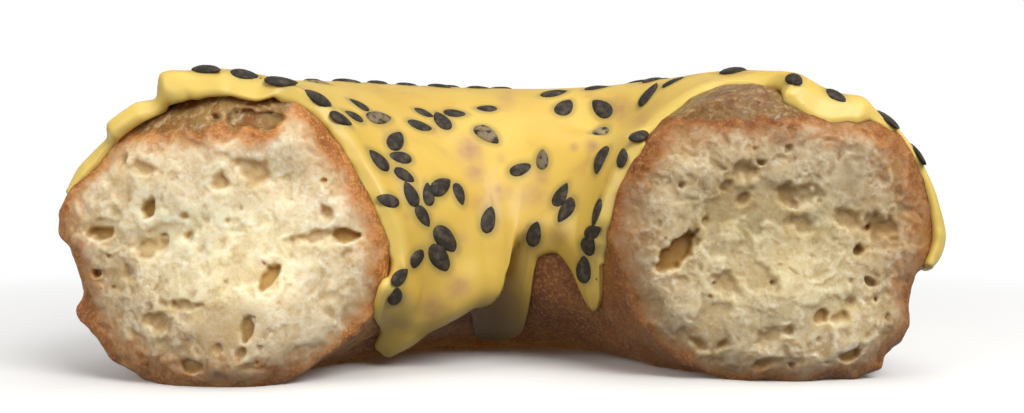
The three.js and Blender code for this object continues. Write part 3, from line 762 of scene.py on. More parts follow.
def fried_dough():
    """Fried yeast dough, torn open: a matt brown skin, a soft cream crumb that glows, a wet soaked band."""
    dough = bpy.context.scene.doughnut.dough
    material, tree = new_material("fried_yeast_dough_torn")
    where = add(tree, COORDINATES)["Object"]
    kept = [add(tree, ATTRIBUTE, attribute_name=name)["Fac"] for name in DOUGH_VALUES]
    depth, hollow, pores, soak, tone = kept
    patches = add(tree, NOISE, {"Vector": where, "Scale": per(2.6), "Detail": 6, "Roughness": 0.65})["Fac"]
    mottle = add(tree, NOISE,
                 {"Vector": where, "Scale": per(1.5), "Detail": 5, "Roughness": 0.7})["Fac"]
    grain = add(tree, NOISE, {"Vector": where, "Scale": per(0.36), "Detail": 4, "Roughness": 0.7})["Fac"]
    lumps = add(tree, NOISE, {"Vector": where, "Scale": per(1.0), "Detail": 4})["Fac"]
    # From the skin inwards: brown, tan, beige and cream, unevenly
    broad = add(tree, MATH, {0: patches, 1: 4.0 * MM, 2: depth}, operation="MULTIPLY_ADD")["Value"]
    swing = add(tree, MATH, {0: mottle, 1: 2.4 * MM, 2: broad}, operation="MULTIPLY_ADD")["Value"]
    under = add(tree, MAP_RANGE, {"Value": swing, "From Min": 2.8 * MM, "From Max": 3.9 * MM})["Result"]
    within = add(tree, MAP_RANGE, {"Value": swing, "From Min": 3.6 * MM, "From Max": 5.7 * MM})["Result"]
    inside = add(tree, MAP_RANGE, {"Value": swing, "From Min": 5.6 * MM, "From Max": 12.5 * MM})["Result"]
    brown = add(tree, BLEND, {0: under, 6: rgba(dough.crust), 7: rgba(dough.tan)}, data_type="RGBA")[2]
    ring = add(tree, BLEND, {0: within, 6: brown, 7: rgba(dough.beige)}, data_type="RGBA")[2]
    crumb = add(tree, BLEND, {0: inside, 6: ring, 7: rgba(dough.cream)}, data_type="RGBA")[2]
    # Pores are darker and yellower: in a random mottle, and as painted shade in their cut cups and on the
    # wall of the hole
    fine = add(tree, MAP_RANGE, {"Value": mottle, "From Min": 0.4, "From Max": 0.66})["Result"]
    cup_shade = add(tree, MAP_RANGE,
                 {"Value": pores, "From Min": 0.1, "From Max": -1.0, "To Max": 0.5})["Result"]
    dark = add(tree, MATH, {0: fine, 1: 0.75, 2: cup_shade}, operation="MULTIPLY_ADD", use_clamp=True)["Value"]
    porous = add(tree, BLEND, {0: dark, 6: crumb, 7: rgba(dough.pore)}, data_type="RGBA",
                 blend_type="MULTIPLY")[2]
    # The brown skin is crumbly, with paler grains
    grains = add(tree, MAP_RANGE,
                 {"Value": grain, "From Min": 0.5, "From Max": 0.61, "To Max": 0.62})["Result"]
    outside = add(tree, MAP_RANGE, {"Value": within, "To Min": 1, "To Max": 0})["Result"]
    sandy = add(tree, MATH, {0: grains, 1: outside}, operation="MULTIPLY")["Value"]
    grained = add(tree, BLEND, {0: sandy, 6: porous, 7: rgba(dough.grain)}, data_type="RGBA")[2]
    # Floors of opened bubbles and hollows of the crumb are smooth and tan, and more so where deeper, which is
    # partly painted shade
    floors = add(tree, MAP_RANGE, {"Value": hollow, "From Min": 0.05 * MM, "From Max": 1.1 * MM})["Result"]
    floored = add(tree, MATH, {0: floors, 1: within}, operation="MULTIPLY")["Value"]
    celled = add(tree, BLEND, {0: floored, 6: grained, 7: rgba(dough.cell)}, data_type="RGBA")[2]
    # Syrup from the icing makes the top smooth, wet and amber, with scraps of pale film
    stained = add(tree, MAP_RANGE, {"Value": patches, "From Min": 0.45, "From Max": 0.6})["Result"]
    syrup = add(tree, BLEND, {0: stained, 6: rgba(dough.amber), 7: rgba(dough.rust)}, data_type="RGBA")[2]
    web = add(tree, NOISE,
              {"Vector": where, "Scale": per(0.75), "Detail": 4, "Roughness": 0.6, "Distortion": 0.4})["Fac"]
    filmed = add(tree, MAP_RANGE,
                 {"Value": web, "From Min": 0.5, "From Max": 0.68, "To Max": 0.6})["Result"]
    syrup = add(tree, BLEND, {0: filmed, 6: syrup, 7: rgba(dough.beige)}, data_type="RGBA")[2]
    wet = add(tree, BLEND, {0: soak, 6: celled, 7: syrup}, data_type="RGBA")[2]
    # One end is darker than the other; the same tint is painted shade in the hole and on the left end's foot,
    # and less of it is painted light on the lower crumb
    toned = add(tree, BLEND, {0: tone, 6: wet, 7: rgba(dough.darkened)}, data_type="RGBA",
                blend_type="MULTIPLY")[2]
    # Torn walls between the pores are white and stand in clumps, in some places more than in others, and what
    # stands forward is whiter too, as painted light
    walls = add(tree, MAP_RANGE,
                {"Value": pores, "From Min": 0.1, "From Max": 0.8, "To Max": 0.35})["Result"]
    clumps = add(tree, MAP_RANGE,
                 {"Value": web, "From Min": 0.47, "From Max": 0.58, "To Max": 0.4})["Result"]
    pale = add(tree, MAP_RANGE,
               {"Value": patches, "From Min": 0.6, "From Max": 0.42, "To Min": 0.2})["Result"]
    crests = add(tree, MAP_RANGE,
                 {"Value": hollow, "From Min": 0.05 * MM, "From Max": -0.35 * MM, "To Max": 0.28})["Result"]
    edges = add(tree, MATH, {0: walls, 1: crests})["Value"]
    torn = add(tree, MATH, {0: clumps, 1: pale, 2: edges}, operation="MULTIPLY_ADD", use_clamp=True)["Value"]
    dry = add(tree, MAP_RANGE, {"Value": soak, "To Min": 1, "To Max": 0})["Result"]
    raised = add(tree, MAP_RANGE, {"Value": floors, "From Max": 0.8, "To Min": 1, "To Max": 0})["Result"]
    soft = add(tree, MAP_RANGE, {"Value": tone, "To Min": 1, "To Max": 0.62})["Result"]
    white = torn
    for limit in (within, dry, raised, soft):
        white = add(tree, MATH, {0: white, 1: limit}, operation="MULTIPLY")["Value"]
    flaked = add(tree, BLEND, {0: white, 6: toned, 7: rgba(dough.flake)}, data_type="RGBA")[2]
    rough = add(tree, MAP_RANGE, {"Value": soak, "To Min": 0.62, "To Max": 0.16})["Result"]
    fine_relief = add(tree, BLEND, {0: soak, 2: grain, 3: lumps})[0]
    step = add(tree, MAP_RANGE, {"Value": soak, "To Min": 0.16 * MM, "To Max": 0.6 * MM})["Result"]
    bump = add(tree, "ShaderNodeBump", {"Height": fine_relief, "Strength": 0.6, "Distance": step})["Normal"]
    shader = add(tree, PRINCIPLED, {
        "Base Color": flaked, "Roughness": rough, "Normal": bump, "IOR": 1.42, "Specular IOR Level": 0.4,
        "Subsurface Weight": 1.0, "Subsurface Radius": (1.0, 0.8, 0.55), "Subsurface Scale": 1.8 * MM})
    add(tree, OUTPUT, {"Surface": shader["BSDF"]})
    return material


def set_icing():
    """Set sugar icing, poured: smooth, glossy and opaque, tinted where thin, painted with shade in places,
    stained round the seeds.
    """
    icing = bpy.context.scene.doughnut.icing
    material, tree = new_material("sugar_icing_poured_and_set")
    where = add(tree, COORDINATES)["Object"]
    near = add(tree, ATTRIBUTE, attribute_name="near_seed")["Fac"]
    broken = add(tree, ATTRIBUTE, attribute_name="broken")["Fac"]
    glazed = add(tree, ATTRIBUTE, attribute_name="glazed")["Fac"]
    clouds = add(tree, NOISE, {"Vector": where, "Scale": per(9), "Detail": 3})["Fac"]
    thin_spots = add(tree, NOISE, {"Vector": where, "Scale": per(4.4), "Detail": 3})["Fac"]
    grain = add(tree, NOISE, {"Vector": where, "Scale": per(0.8), "Detail": 2})["Fac"]
    deep = add(tree, MAP_RANGE, {"Value": clouds, "From Min": 0.35, "From Max": 0.7})["Result"]
    body = add(tree, BLEND, {0: deep, 6: rgba(icing.body), 7: rgba(icing.deep)}, data_type="RGBA")[2]
    # Thin spots, some of them painted shade, take the thin colour
    thinned = add(tree, ATTRIBUTE, attribute_name="thinned")["Fac"]
    patchy = add(tree, MAP_RANGE,
                 {"Value": thin_spots, "From Min": 0.58, "From Max": 0.7, "To Max": 0.35})["Result"]
    grainy = add(tree, MAP_RANGE,
                 {"Value": grain, "From Min": 0.2, "From Max": 0.7, "To Min": 0.6, "To Max": 1.1})["Result"]
    worn = add(tree, MATH, {0: thinned, 1: grainy}, operation="MULTIPLY")["Value"]
    thin = add(tree, MATH, {0: patchy, 1: worn}, operation="MAXIMUM", use_clamp=True)["Value"]
    tinted = add(tree, BLEND, {0: thin, 6: body, 7: rgba(icing.thin)}, data_type="RGBA")[2]
    # The thin run behind the curtain is darker over the dark wall, and darker again with painted shade
    run = add(tree, BLEND, {0: glazed, 6: tinted, 7: rgba(icing.glaze)}, data_type="RGBA")[2]
    stain = add(tree, MATH, {0: near, 1: 0.75}, operation="MULTIPLY")["Value"]
    stained = add(tree, BLEND, {0: stain, 6: run, 7: rgba(icing.halo)}, data_type="RGBA")[2]
    fresh = add(tree, MATH, {0: broken, 1: 0.7}, operation="MULTIPLY")["Value"]
    lipped = add(tree, BLEND, {0: fresh, 6: stained, 7: rgba(icing.lip)}, data_type="RGBA")[2]
    # Specks about a third of a millimetre wide, a few millimetres apart
    apart = add(tree, "ShaderNodeTexVoronoi", {"Vector": where, "Scale": per(4.5)})["Distance"]
    speck = add(tree, MAP_RANGE, {"Value": apart, "From Min": 0.045, "From Max": 0.03})["Result"]
    dusted = add(tree, BLEND, {0: speck, 6: lipped, 7: rgba(icing.speck)}, data_type="RGBA")[2]
    bump = add(tree, "ShaderNodeBump", {"Height": grain, "Strength": 0.12, "Distance": 0.1 * MM})["Normal"]
    shader = add(tree, PRINCIPLED, {
        "Base Color": dusted, "Roughness": 0.36, "Normal": bump, "IOR": 1.48, "Specular IOR Level": 0.35,
        "Subsurface Weight": 0.3, "Subsurface Radius": (1.0, 0.7, 0.3), "Subsurface Scale": 1.0 * MM})
    add(tree, OUTPUT, {"Surface": shader["BSDF"]})
    return material


def seed_coat():
    """Black sesame, whole: a dull ridged coat, greyer where it is rubbed, some under a film of icing."""
    seeds = bpy.context.scene.doughnut.seeds
    material, tree = new_material("black_sesame_whole")
    where = add(tree, COORDINATES)["Object"]
    film = add(tree, ATTRIBUTE, attribute_name="film")["Fac"]
    rubbed = add(tree, NOISE, {"Vector": where, "Scale": per(0.7), "Detail": 3})["Fac"]
    worn = add(tree, MAP_RANGE, {"Value": rubbed, "From Min": 0.45, "From Max": 0.75})["Result"]
    coat = add(tree, BLEND, {0: worn, 6: rgba(seeds.black), 7: rgba(seeds.worn)}, data_type="RGBA")[2]
    patchy = add(tree, MAP_RANGE, {"Value": rubbed, "From Min": 0.38, "From Max": 0.54})["Result"]
    covered = add(tree, MATH, {0: film, 1: patchy}, operation="MULTIPLY")["Value"]
    filmed = add(tree, BLEND, {0: covered, 6: coat, 7: rgba(seeds.film)}, data_type="RGBA")[2]
    bump = add(tree, "ShaderNodeBump", {"Height": rubbed, "Strength": 0.4, "Distance": 0.08 * MM})["Normal"]
    shader = add(tree, PRINCIPLED, {
        "Base Color": filmed, "Roughness": 0.6, "Normal": bump, "IOR": 1.47, "Specular IOR Level": 0.25})
    add(tree, OUTPUT, {"Surface": shader["BSDF"]})
    return material


def matt_white():
    """Matt white laminate: an even, soft pale ground that fades into the white round it."""
    stage = bpy.context.scene.doughnut.stage
    material, tree = new_material("matt_white_laminate")
    where = add(tree, COORDINATES)["Object"]
    away = add(tree, "ShaderNodeVectorMath", {0: where}, operation="LENGTH")["Value"]
    far = add(tree, MAP_RANGE, {"Value": away, "From Min": stage.fade_from, "From Max": stage.fade_to},
              interpolation_type="SMOOTHSTEP")["Result"]
    near = add(tree, PRINCIPLED, {"Base Color": rgba(stage.floor), "Roughness": 0.8})["BSDF"]
    white = add(tree, "ShaderNodeEmission", {"Color": (1, 1, 1, 1), "Strength": 1.0})["Emission"]
    surface = add(tree, "ShaderNodeMixShader", {0: far, 1: near, 2: white})["Shader"]
    add(tree, OUTPUT, {"Surface": surface})
    return material


# The camera's picture

# Size of the picture in pixels, and width of the camera's sensor in millimetres
PICTURE_WIDTH = 1024
PICTURE_HEIGHT = 413
SENSOR = 36


def viewpoint(stage):
    return np.array([0, -stage.distance, stage.height])


def seen(stage, points):
    """Column and row, in the camera's picture, of points round the hole's axis."""
    turned = Matrix.Rotation(-stage.pan, 3, "Z") @ Matrix.Rotation(-stage.tilt, 3, "X")
    right, ahead, up = np.array(turned).T
    line = points - viewpoint(stage)
    scale = stage.lens / SENSOR * PICTURE_WIDTH / (line @ ahead)
    column = PICTURE_WIDTH / 2 + scale * (line @ right)
    row = PICTURE_HEIGHT / 2 - scale * (line @ up)
    return np.stack([column, row], axis=-1)


# Crust

# Points of the crust along the ring and round the section
CRUST_STEPS = 220
CRUST_SECTION_STEPS = 200
# How deep the crust is tucked in under an end piece, and how far before and behind the joint
TUCK = 0.2 * MM
TUCK_REACH = 1.6 * MM
# The skin is darker beside the right-hand end, as that end is: last ring angle, and degrees over which that
# fades
DARKER_LAST = 39.2
DARKER_FADE = 28
# Painted shade on the wall of the hole: section angle and spread, and last ring angle
HOLE_SHADE = (215, 80)
HOLE_LAST = 172
# Ring angle from which that painted shade is also deeper, in the tint of the pores, and degrees over which
# both fade
HOLE_DEEPER_SHADE = 12
HOLE_FADE = 24


def joint_angle(dough, ring, around, behind):
    """Ring angle at which the skin lies so far behind the torn plane at one end."""
    angle = np.degrees(np.arcsin(behind / skin_radius(dough, ring, around)))
    return np.abs(ring - angle)


def make_crust():
    """The fried skin between the two end pieces, tucked a little under each of them."""
    dough = bpy.context.scene.doughnut.dough
    around = np.linspace(0, 360, CRUST_SECTION_STEPS, endpoint=False)[None, :]
    along = np.linspace(0, 1, CRUST_STEPS)[:, None]
    start = joint_angle(dough, 0, around, dough.joint - TUCK_REACH)
    stop = joint_angle(dough, 180, around, dough.joint - TUCK_REACH)
    ring = mix(start, stop, along)
    points = skin(dough, ring, around)
    normal = skin_axes(dough, ring, around)[2]
    tuck = TUCK * ease((dough.joint + TUCK_REACH - points[..., 1]) / (2 * TUCK_REACH))
    points = points + normal * (crust_relief(points) - tuck)[..., None]
    points[..., 2] = np.maximum(points[..., 2], 0)
    flat = points.reshape(-1, 3)
    ends = np.array([points[0].mean(axis=0), points[-1].mean(axis=0)])
    everything = np.concatenate([flat, ends])
    zero = np.zeros(len(everything))
    beside = ease((DARKER_LAST - ring) / DARKER_FADE)
    facing, spread = HOLE_SHADE
    # Painted shade on the wall of the hole, in the darker tint
    hole = hump(turn(around, facing) / spread) * ease((HOLE_LAST - ring) / HOLE_FADE)
    tone = np.concatenate([np.maximum(beside, hole).ravel(), [RIGHT.tone, LEFT.tone]])
    # Deeper painted shade there, in the tint of the pores
    browner = hole * ease((ring - HOLE_DEEPER_SHADE) / HOLE_FADE)
    pores = np.concatenate([-browner.ravel(), [0, 0]])
    return make_piece("crust", everything, tube_faces(CRUST_STEPS, CRUST_SECTION_STEPS),
                      skin_depth=zero, hollow=zero, pores=pores, soak=zero, tone=tone)


# Torn ends

# Round bubbles opened by the tear: how many, smallest and largest radius, depth of the middle in radii,
# softness of the lip
PORES = (14, 0.2 * MM, 0.4 * MM, 0.2, 0.1 * MM)
CELLS = (8, 0.4 * MM, 0.7 * MM, -0.3, 0.3 * MM)
# Start of their random draws, how much more often they are small, and least stretch with what chance adds
BUBBLE_DRAWS = 900
BUBBLE_SMALL = 1.6
BUBBLE_STRETCH = (0.7, 0.7)
# Such a bubble starts so many voxels from the torn surface at most, so deep under the skin at least, with so
# much depth left beyond its radius, and where the dough is soaked so much at most
BUBBLE_NEAR = 0.6
BUBBLE_SKIN = 1.3 * MM
BUBBLE_SPARE = 0.9 * MM
BUBBLE_SOAK = 0.3
# Reach of its voxels in radii, and spare voxels round them
BUBBLE_BOX = 1.5
BUBBLE_MARGIN = 3
# Unevenness of its wall: height and size in radii, and start
BUBBLE_WALL = (0.4, 0.8, 77)
# How far the voxels reach past the dough: towards the hole, in front and below, then outwards, behind the
# joint and above
FIELD_BEFORE = np.array([3.5, 4.5, 0.5]) * MM
FIELD_BEYOND = np.array([1.5, 0.6, 0.0]) * MM
# Bites out of the rim of the crust: depth of a usual one, and how far behind the tear they reach
RIM_BITE = 0.8 * MM
BITE_REACH = 3.5 * MM
# How far from the skin bites and blisters are worked out
BAND = 3.4 * MM
# Size and start of the large bites, and size, start and share of the small ones
BITES = (3.7 * MM, 71)
NIBBLES = (1.3 * MM, 72, 0.3)
# Rounding of the corner between the tear and the skin, and how far the tear is, as a share of straight ahead
CORNER = 0.5 * MM
TEAR_NEARER = 0.85
# How wide the edge of the soaked part is, and how much smoother it and the deep bubbles are
SOAK_EDGE = 0.6 * MM
SOAK_SMOOTH = 0.5
BUBBLE_SMOOTH = 0.75
BUBBLE_FULL = 1.2 * MM
# Share of the relief at the rim, where it starts to grow inwards and how far it grows
RIM_RELIEF = 0.55
RIM_RELIEF_START = 0.3 * MM
RIM_RELIEF_REACH = 2.2 * MM
# Where the browner side of an end, partly painted shade, starts, and how far it grows, in half widths
DARK_SIDE_START = 0.05
DARK_SIDE_REACH = 0.6
# How much nearer the skin the crumb counts as there, so browner and partly painted shade, and how much darker
# it is, as painted shade
BROWNED_SKIN = 0.5
SHADED_FOOT = 0.6
# Painted light: how much paler the lower part of the crumb is, how far down that grows, and how far in from
# the skin
FILL_LIGHT_FOOT = 0.45
FILL_LIGHT_REACH = 0.5
FILL_LIGHT_DEPTH = 4 * MM
# Voxels on each side of the surface that the mesh is made from, and how readily level faces are merged
NARROW_BAND = 3
MERGING = 0.01
# Factor, step and range of the random draws
DRAW_FACTOR = 1664525
DRAW_STEP = 1013904223
DRAW_RANGE = 2 ** 32


def random_draws(start):
    """Repeatable random draws from 0 to 1."""
    state = start
    while True:
        state = (state * DRAW_FACTOR + DRAW_STEP) % DRAW_RANGE
        yield state / DRAW_RANGE


def soft_least(a, b, softness):
    """The lesser of two values, with a rounded corner where they are alike."""
    t = np.clip(0.5 + 0.5 * (b - a) / softness, 0, 1)
    return mix(b, a, t) - softness * t * (1 - t)


class EndField:
    """The solid of a torn end on a grid of voxels: how deep each voxel lies in the dough."""

    def __init__(self, dough, end):
        self.dough = dough
        self.end = end
        self.side = np.array([end.inward, 1, 1])
        inner, outer = dough.ring_radius - dough.half_width, dough.ring_radius + dough.half_width
        self.low = np.array([inner, 0, 0]) - FIELD_BEFORE
        high = np.array([outer, dough.joint, 2 * dough.half_height]) + FIELD_BEYOND
        axes = [np.arange(a, b, dough.voxel) for a, b in zip(self.low, high)]
        self.grid = np.stack(np.meshgrid(*axes, indexing="ij"), axis=-1)
        self.shape = np.array(self.grid.shape[:3])
        self.height = self.grid[..., 2]
        self.draw_face(axes[0] - dough.ring_radius, axes[2] - (dough.half_height - dough.foot_cut))
        self.fill()
        self.draw = random_draws(BUBBLE_DRAWS + end.seed)
        for kind in (CELLS, PORES):
            self.open_bubbles(*kind)

    def draw_face(self, across, upward):
        """The torn surface as seen from the front: how far each place stands forward, and what it is like."""
        dough, end = self.dough, self.end
        out, up = np.meshgrid(across, upward, indexing="ij")
        here = np.hypot(out, up)
        rim = np.hypot(*section(dough, end.ring, np.degrees(np.arctan2(up, out)) % 360))
        above = soak_limit(dough, end, out, up)
        holes = opened(end, out, up)
        relief, pores = torn_foam(end, out, up)
        soak = ease(above / SOAK_EDGE + 0.5)
        soft = mix(RIM_RELIEF, 1, ease((rim - here - RIM_RELIEF_START) / RIM_RELIEF_REACH))
        smooth = (1 - BUBBLE_SMOOTH * ease(holes / BUBBLE_FULL)) * (1 - SOAK_SMOOTH * soak)
        plain = tear(dough, end, out, up, np.clip(here / rim, 0, 1))
        self.plain = plain[:, None, :]
        self.torn = (plain + relief * soft * smooth - holes)[:, None, :]
        self.pores = np.broadcast_to((pores * smooth)[:, None, :], self.shape)
        self.soak = np.broadcast_to(soak[:, None, :], self.shape)
        self.below_soak = np.maximum(-above, 0)[:, None, :]
        # The browner side of an end, partly painted shade: low and out on the left end, high and out on the
        # right
        outwards, upwards = end.browned_and_shaded
        side = outwards * out / dough.half_width + upwards * up / dough.half_height
        self.browned_and_shaded = ease((side - DARK_SIDE_START) / DARK_SIDE_REACH)[:, None, :]
        self.lower = ease(-up / (FILL_LIGHT_REACH * dough.half_height))[:, None, :]

    def fill(self):
        """Depth of each voxel under the skin and behind the torn surface, with a bitten edge to the crust."""
        dough, end = self.dough, self.end
        x, y = self.grid[..., 0], self.grid[..., 1]
        radius = np.hypot(x, y)
        angle = np.arctan2(y, x)
        ring = end.ring + end.inward * np.degrees(angle)
        out = radius - dough.ring_radius
        up = self.height - (dough.half_height - dough.foot_cut)
        around = np.degrees(np.arctan2(up, out)) % 360
        depth = np.hypot(*section(dough, ring, around)) - np.hypot(out, up)
        self.hollow = self.plain + angle * radius
        self.behind = self.torn + angle * radius
        near = np.abs(depth) < BAND
        points = self.grid[near] * self.side
        size, seed, amount = NIBBLES
        bite = np.maximum(0, lumpy(points, *BITES)) + amount * lumpy(points, size, seed)
        for facing, spread, deep in end.bites:
            bite = bite + deep * ease(2 - 2 * np.abs(turn(around[near], facing)) / spread)
        depth[near] += crust_relief(points) - RIM_BITE * bite * ease(1 - self.behind[near] / BITE_REACH)
        self.solid = soft_least(TEAR_NEARER * self.behind, depth, CORNER)
        # The browner side counts as nearer the skin, partly painted shade
        self.skin_depth = np.minimum(depth, self.below_soak) * (1 - BROWNED_SKIN * self.browned_and_shaded)

    def open_bubbles(self, count, small, large, depth, softness):
        """Takes out bubbles that the tear has cut through, none of them through the crust."""
        draw, voxel = self.draw, self.dough.voxel
        torn = np.abs(self.behind) < BUBBLE_NEAR * voxel
        spots = np.argwhere(torn & (self.skin_depth > BUBBLE_SKIN) & (self.soak < BUBBLE_SOAK))
        high_wall, wide_wall, wall_seed = BUBBLE_WALL
        least, more = BUBBLE_STRETCH
        for _ in range(count):
            spot = spots[int(next(draw) * len(spots))]
            size = small * (large / small) ** (next(draw) ** BUBBLE_SMALL)
            stretch = np.array([least + more * next(draw) for _ in range(3)])
            centre = self.grid[tuple(spot)] + np.array([0, depth * size, 0])
            if self.skin_depth[tuple(spot)] < BUBBLE_SPARE + size:
                continue
            reach = int(BUBBLE_BOX * size / voxel) + BUBBLE_MARGIN
            shift = int(depth * size / voxel)
            low = np.maximum(spot + (0, shift, 0) - reach, 0)
            high = np.minimum(spot + (0, shift, 0) + reach + 1, self.shape)
            part = tuple(slice(a, b) for a, b in zip(low, high))
            around = self.grid[part]
            wall = np.linalg.norm((around - centre) / stretch, axis=-1) - size
            wall = wall + high_wall * size * lumpy(around, wide_wall * size, wall_seed)
            self.solid[part] = soft_least(self.solid[part], wall, softness)

    def mesh(self):
        """Points, quads and the values that colour them, without loose crumbs."""
        dough = self.dough
        solid = np.minimum(self.solid, self.height)
        solid = np.minimum(solid, dough.joint - self.grid[..., 1])
        band = NARROW_BAND * dough.voxel
        cells = openvdb.FloatGrid(band)
        cells.copyFromArray(np.clip(-solid, -band, band).astype(np.float32))
        places, triangles, quads = cells.convertToPolygons(isovalue=0.0, adaptivity=MERGING)
        places, faces = largest_part(places, [triangles, quads])
        # Painted light makes the lower crumb paler, and painted shade makes the browner side darker
        painted_fill = FILL_LIGHT_FOOT * self.lower * ease(self.skin_depth / FILL_LIGHT_DEPTH)
        self.tone = np.maximum(self.end.tone - painted_fill, SHADED_FOOT * self.browned_and_shaded)
        values = {name: sample(getattr(self, name), places) for name in DOUGH_VALUES}
        points = (self.low + places * dough.voxel) * self.side
        turned = [part[:, ::self.end.inward] for part in faces]
        return points, [face for part in turned for face in part.tolist()], values


def sample(field, places):
    """Values of a field at places between its voxels."""
    low = np.clip(np.floor(places).astype(int), 0, np.array(field.shape) - 2)
    part = places - low
    total = 0
    for corner in np.ndindex(2, 2, 2):
        weight = np.prod(np.where(np.array(corner) == 1, part, 1 - part), axis=1)
        total = total + weight * field[tuple((low + corner).T)]
    return total


def largest_part(points, faces):
    """The largest connected part of a mesh, with its triangles and its quads."""
    label = np.arange(len(points))
    sides = [np.stack([part, np.roll(part, -1, axis=1)], axis=-1).reshape(-1, 2) for part in faces]
    edges = np.concatenate(sides)
    while True:
        least = np.minimum(label[edges[:, 0]], label[edges[:, 1]])
        new = label.copy()
        np.minimum.at(new, edges[:, 0], least)
        np.minimum.at(new, edges[:, 1], least)
        new = new[new]
        if np.array_equal(new, label):
            break
        label = new
    names, counts = np.unique(label, return_counts=True)
    keep = label == names[np.argmax(counts)]
    number = np.cumsum(keep) - 1
    return points[keep], [number[part[keep[part[:, 0]]]] for part in faces]


def make_torn_end(end):
    dough = bpy.context.scene.doughnut.dough
    points, faces, values = EndField(dough, end).mesh()
    return make_piece(f"torn_end_{end.name}", points, faces, **values)


# Icing

# Cells of the icing along the ring, over the section and through the thickness
ICING_ALONG = 290
ICING_ACROSS = 150
ICING_LEVELS = 6
# Ring angles and section angles between which distances from the lip are kept, and degrees between the points
# of the lip that they are measured to
LIP_RING = (-12, 192)
LIP_AROUND = (-40, 280)
LIP_STEP = 0.25
# Unevenness of a broken edge: section angle of one rise or fall, then that of the crumbled face, its rises or
# falls through the thickness and its start beyond the edge's own
RAGGED_STEP = 14
CRUMBLED_STEP = 3.1
CRUMBLED_ROWS = 2.2
CRUMBLED_SEED = 5
# Where the curtain starts and where it stops: ring angle, and degrees over which it grows or fades
CURTAIN_START = (66, 30)
CURTAIN_STOP = (180, 24)
# Least thickness of a broken edge as a share, where the icing beside it is thin and where it is thick, and
# the share of the full thickness up to which it counts as thin
BROKEN_LEAST = (0.35, 0.75)
BROKEN_THIN = 0.6
# How many millimetres of droop make an edge that hangs over
HANGING = 0.5
# Section angle from which the icing may have thin spots and spots of painted shade, and degrees over which
# they come in
SPOTS_FROM = 84
SPOTS_FADE = 8


def outer_edge(icing, ring):
    """Section angle of the outer lip: a plain lip, carried further down by each drip near it."""
    angle = icing.outer_edge + 0 * ring
    for at, width, drop in OUTER_DRIPS:
        angle = angle - drop * hump((ring - at) / width)
    return angle


def inner_edge(ring):
    return curve(INNER_LIP, ring)


def broken_angle(settings, end, around, ragged=0):
    """Ring angle of the icing's broken edge at one end."""
    icing, dough = settings.icing, settings.dough
    forward = reading(end.edge, around) * MM + ragged
    forward = forward + icing.ragged * uneven(around / RAGGED_STEP, 0.5 + 0 * around, end.edge_seed)
    return end.ring - end.inward * np.degrees(forward / skin_radius(dough, end.ring, around))


def from_broken(settings, end, ring, around):
    """Distance along the ring from the icing's broken edge at one end."""
    turned = end.inward * (ring - broken_angle(settings, end, around))
    return np.radians(turned) * skin_radius(settings.dough, ring, around)


@functools.lru_cache(maxsize=None)
def lip_distances(inner_radius, half_width):
    """Distance from the lip inside the hole for each degree of both angles, less than 0 below the lip."""
    ring = np.arange(LIP_RING[0], LIP_RING[1] + LIP_STEP / 2, LIP_STEP)
    lip_along = np.radians(ring) * inner_radius
    lip_over = np.radians(inner_edge(ring)) * half_width
    around = np.arange(LIP_AROUND[0], LIP_AROUND[1] + 1)
    over = np.radians(around)[:, None] * half_width
    rows = []
    for angle in np.arange(LIP_RING[0], LIP_RING[1] + 1):
        away = np.hypot(over - lip_over, math.radians(angle) * inner_radius - lip_along).min(axis=1)
        rows.append(away * np.sign(inner_edge(float(angle)) - around))
    return np.array(rows)


def from_lip(settings, ring, around):
    """Distance from the icing's lip inside the hole."""
    dough = settings.dough
    table = lip_distances(dough.ring_radius - dough.half_width, dough.half_width)
    # A place stays just inside the last row and column of the table
    within = 1.001
    row = np.clip(ring - LIP_RING[0], 0, table.shape[0] - within)
    column = np.clip(around - LIP_AROUND[0], 0, table.shape[1] - within)
    i = row.astype(int)
    j = column.astype(int)
    first = mix(table[i, j], table[i, j + 1], column - j)
    second = mix(table[i + 1, j], table[i + 1, j + 1], column - j)
    return mix(first, second, row - i)


def above_curtain(settings, ring, around):
    """How far a place lies above the lower edge of the curtain, and how much of a curtain there is there."""
    edge = np.minimum(curve(CURTAIN, ring), inner_edge(ring))
    above = np.radians(edge - around) * settings.dough.half_width
    start, grows = CURTAIN_START
    stop, fades = CURTAIN_STOP
    return above, ease((ring - start) / grows) * ease((stop - ring) / fades)


def below_curtain(settings, ring, around):
    """How much a place lies in the thin run of icing behind the curtain."""
    above, part = above_curtain(settings, ring, around)
    return part * ease(-above / settings.icing.curtain_edge)


def icing_thickness(settings, ring, around):
    """Thickness of the icing: rounded at its lips and broken edges, with a bead and a curtain at the hole."""
    icing, dough = settings.icing, settings.dough
    from_outer = np.radians(around - outer_edge(icing, ring)) * dough.half_width
    from_inner = from_lip(settings, ring, around)
    bead = 1 + icing.bead * hump((from_inner - icing.rounding) / icing.rounding)
    above, part = above_curtain(settings, ring, around)
    thick = part * ease(1 - above / icing.curtain_reach) * ease(1 + above / icing.curtain_edge)
    plain = mix(bead, icing.run, below_curtain(settings, ring, around))
    coat = icing.thickness * plain + icing.curtain * thick
    for distance in (from_outer, from_inner):
        coat = coat * np.sqrt(1 - (1 - np.clip(distance / icing.rounding, 0, 1)) ** 2)
    for end in ENDS:
        inside = np.maximum(from_broken(settings, end, ring, around), 0)
        share_here = reading(end.coat, around)
        coat = coat * mix(1, share_here, ease(1 - inside / icing.coat_reach))
        lip = np.clip(inside / icing.broken_round, 0, 1)
        lowest = mix(*BROKEN_LEAST, ease(share_here - BROKEN_THIN))
        coat = coat * mix(lowest, 1, np.sqrt(1 - (1 - lip) ** 2))
    for at, spread, facing, width, height in FOLDS:
        coat = coat + height * hump((ring - at) / spread) * hump((around - facing) / width)
    return np.maximum(icing.edge, coat)


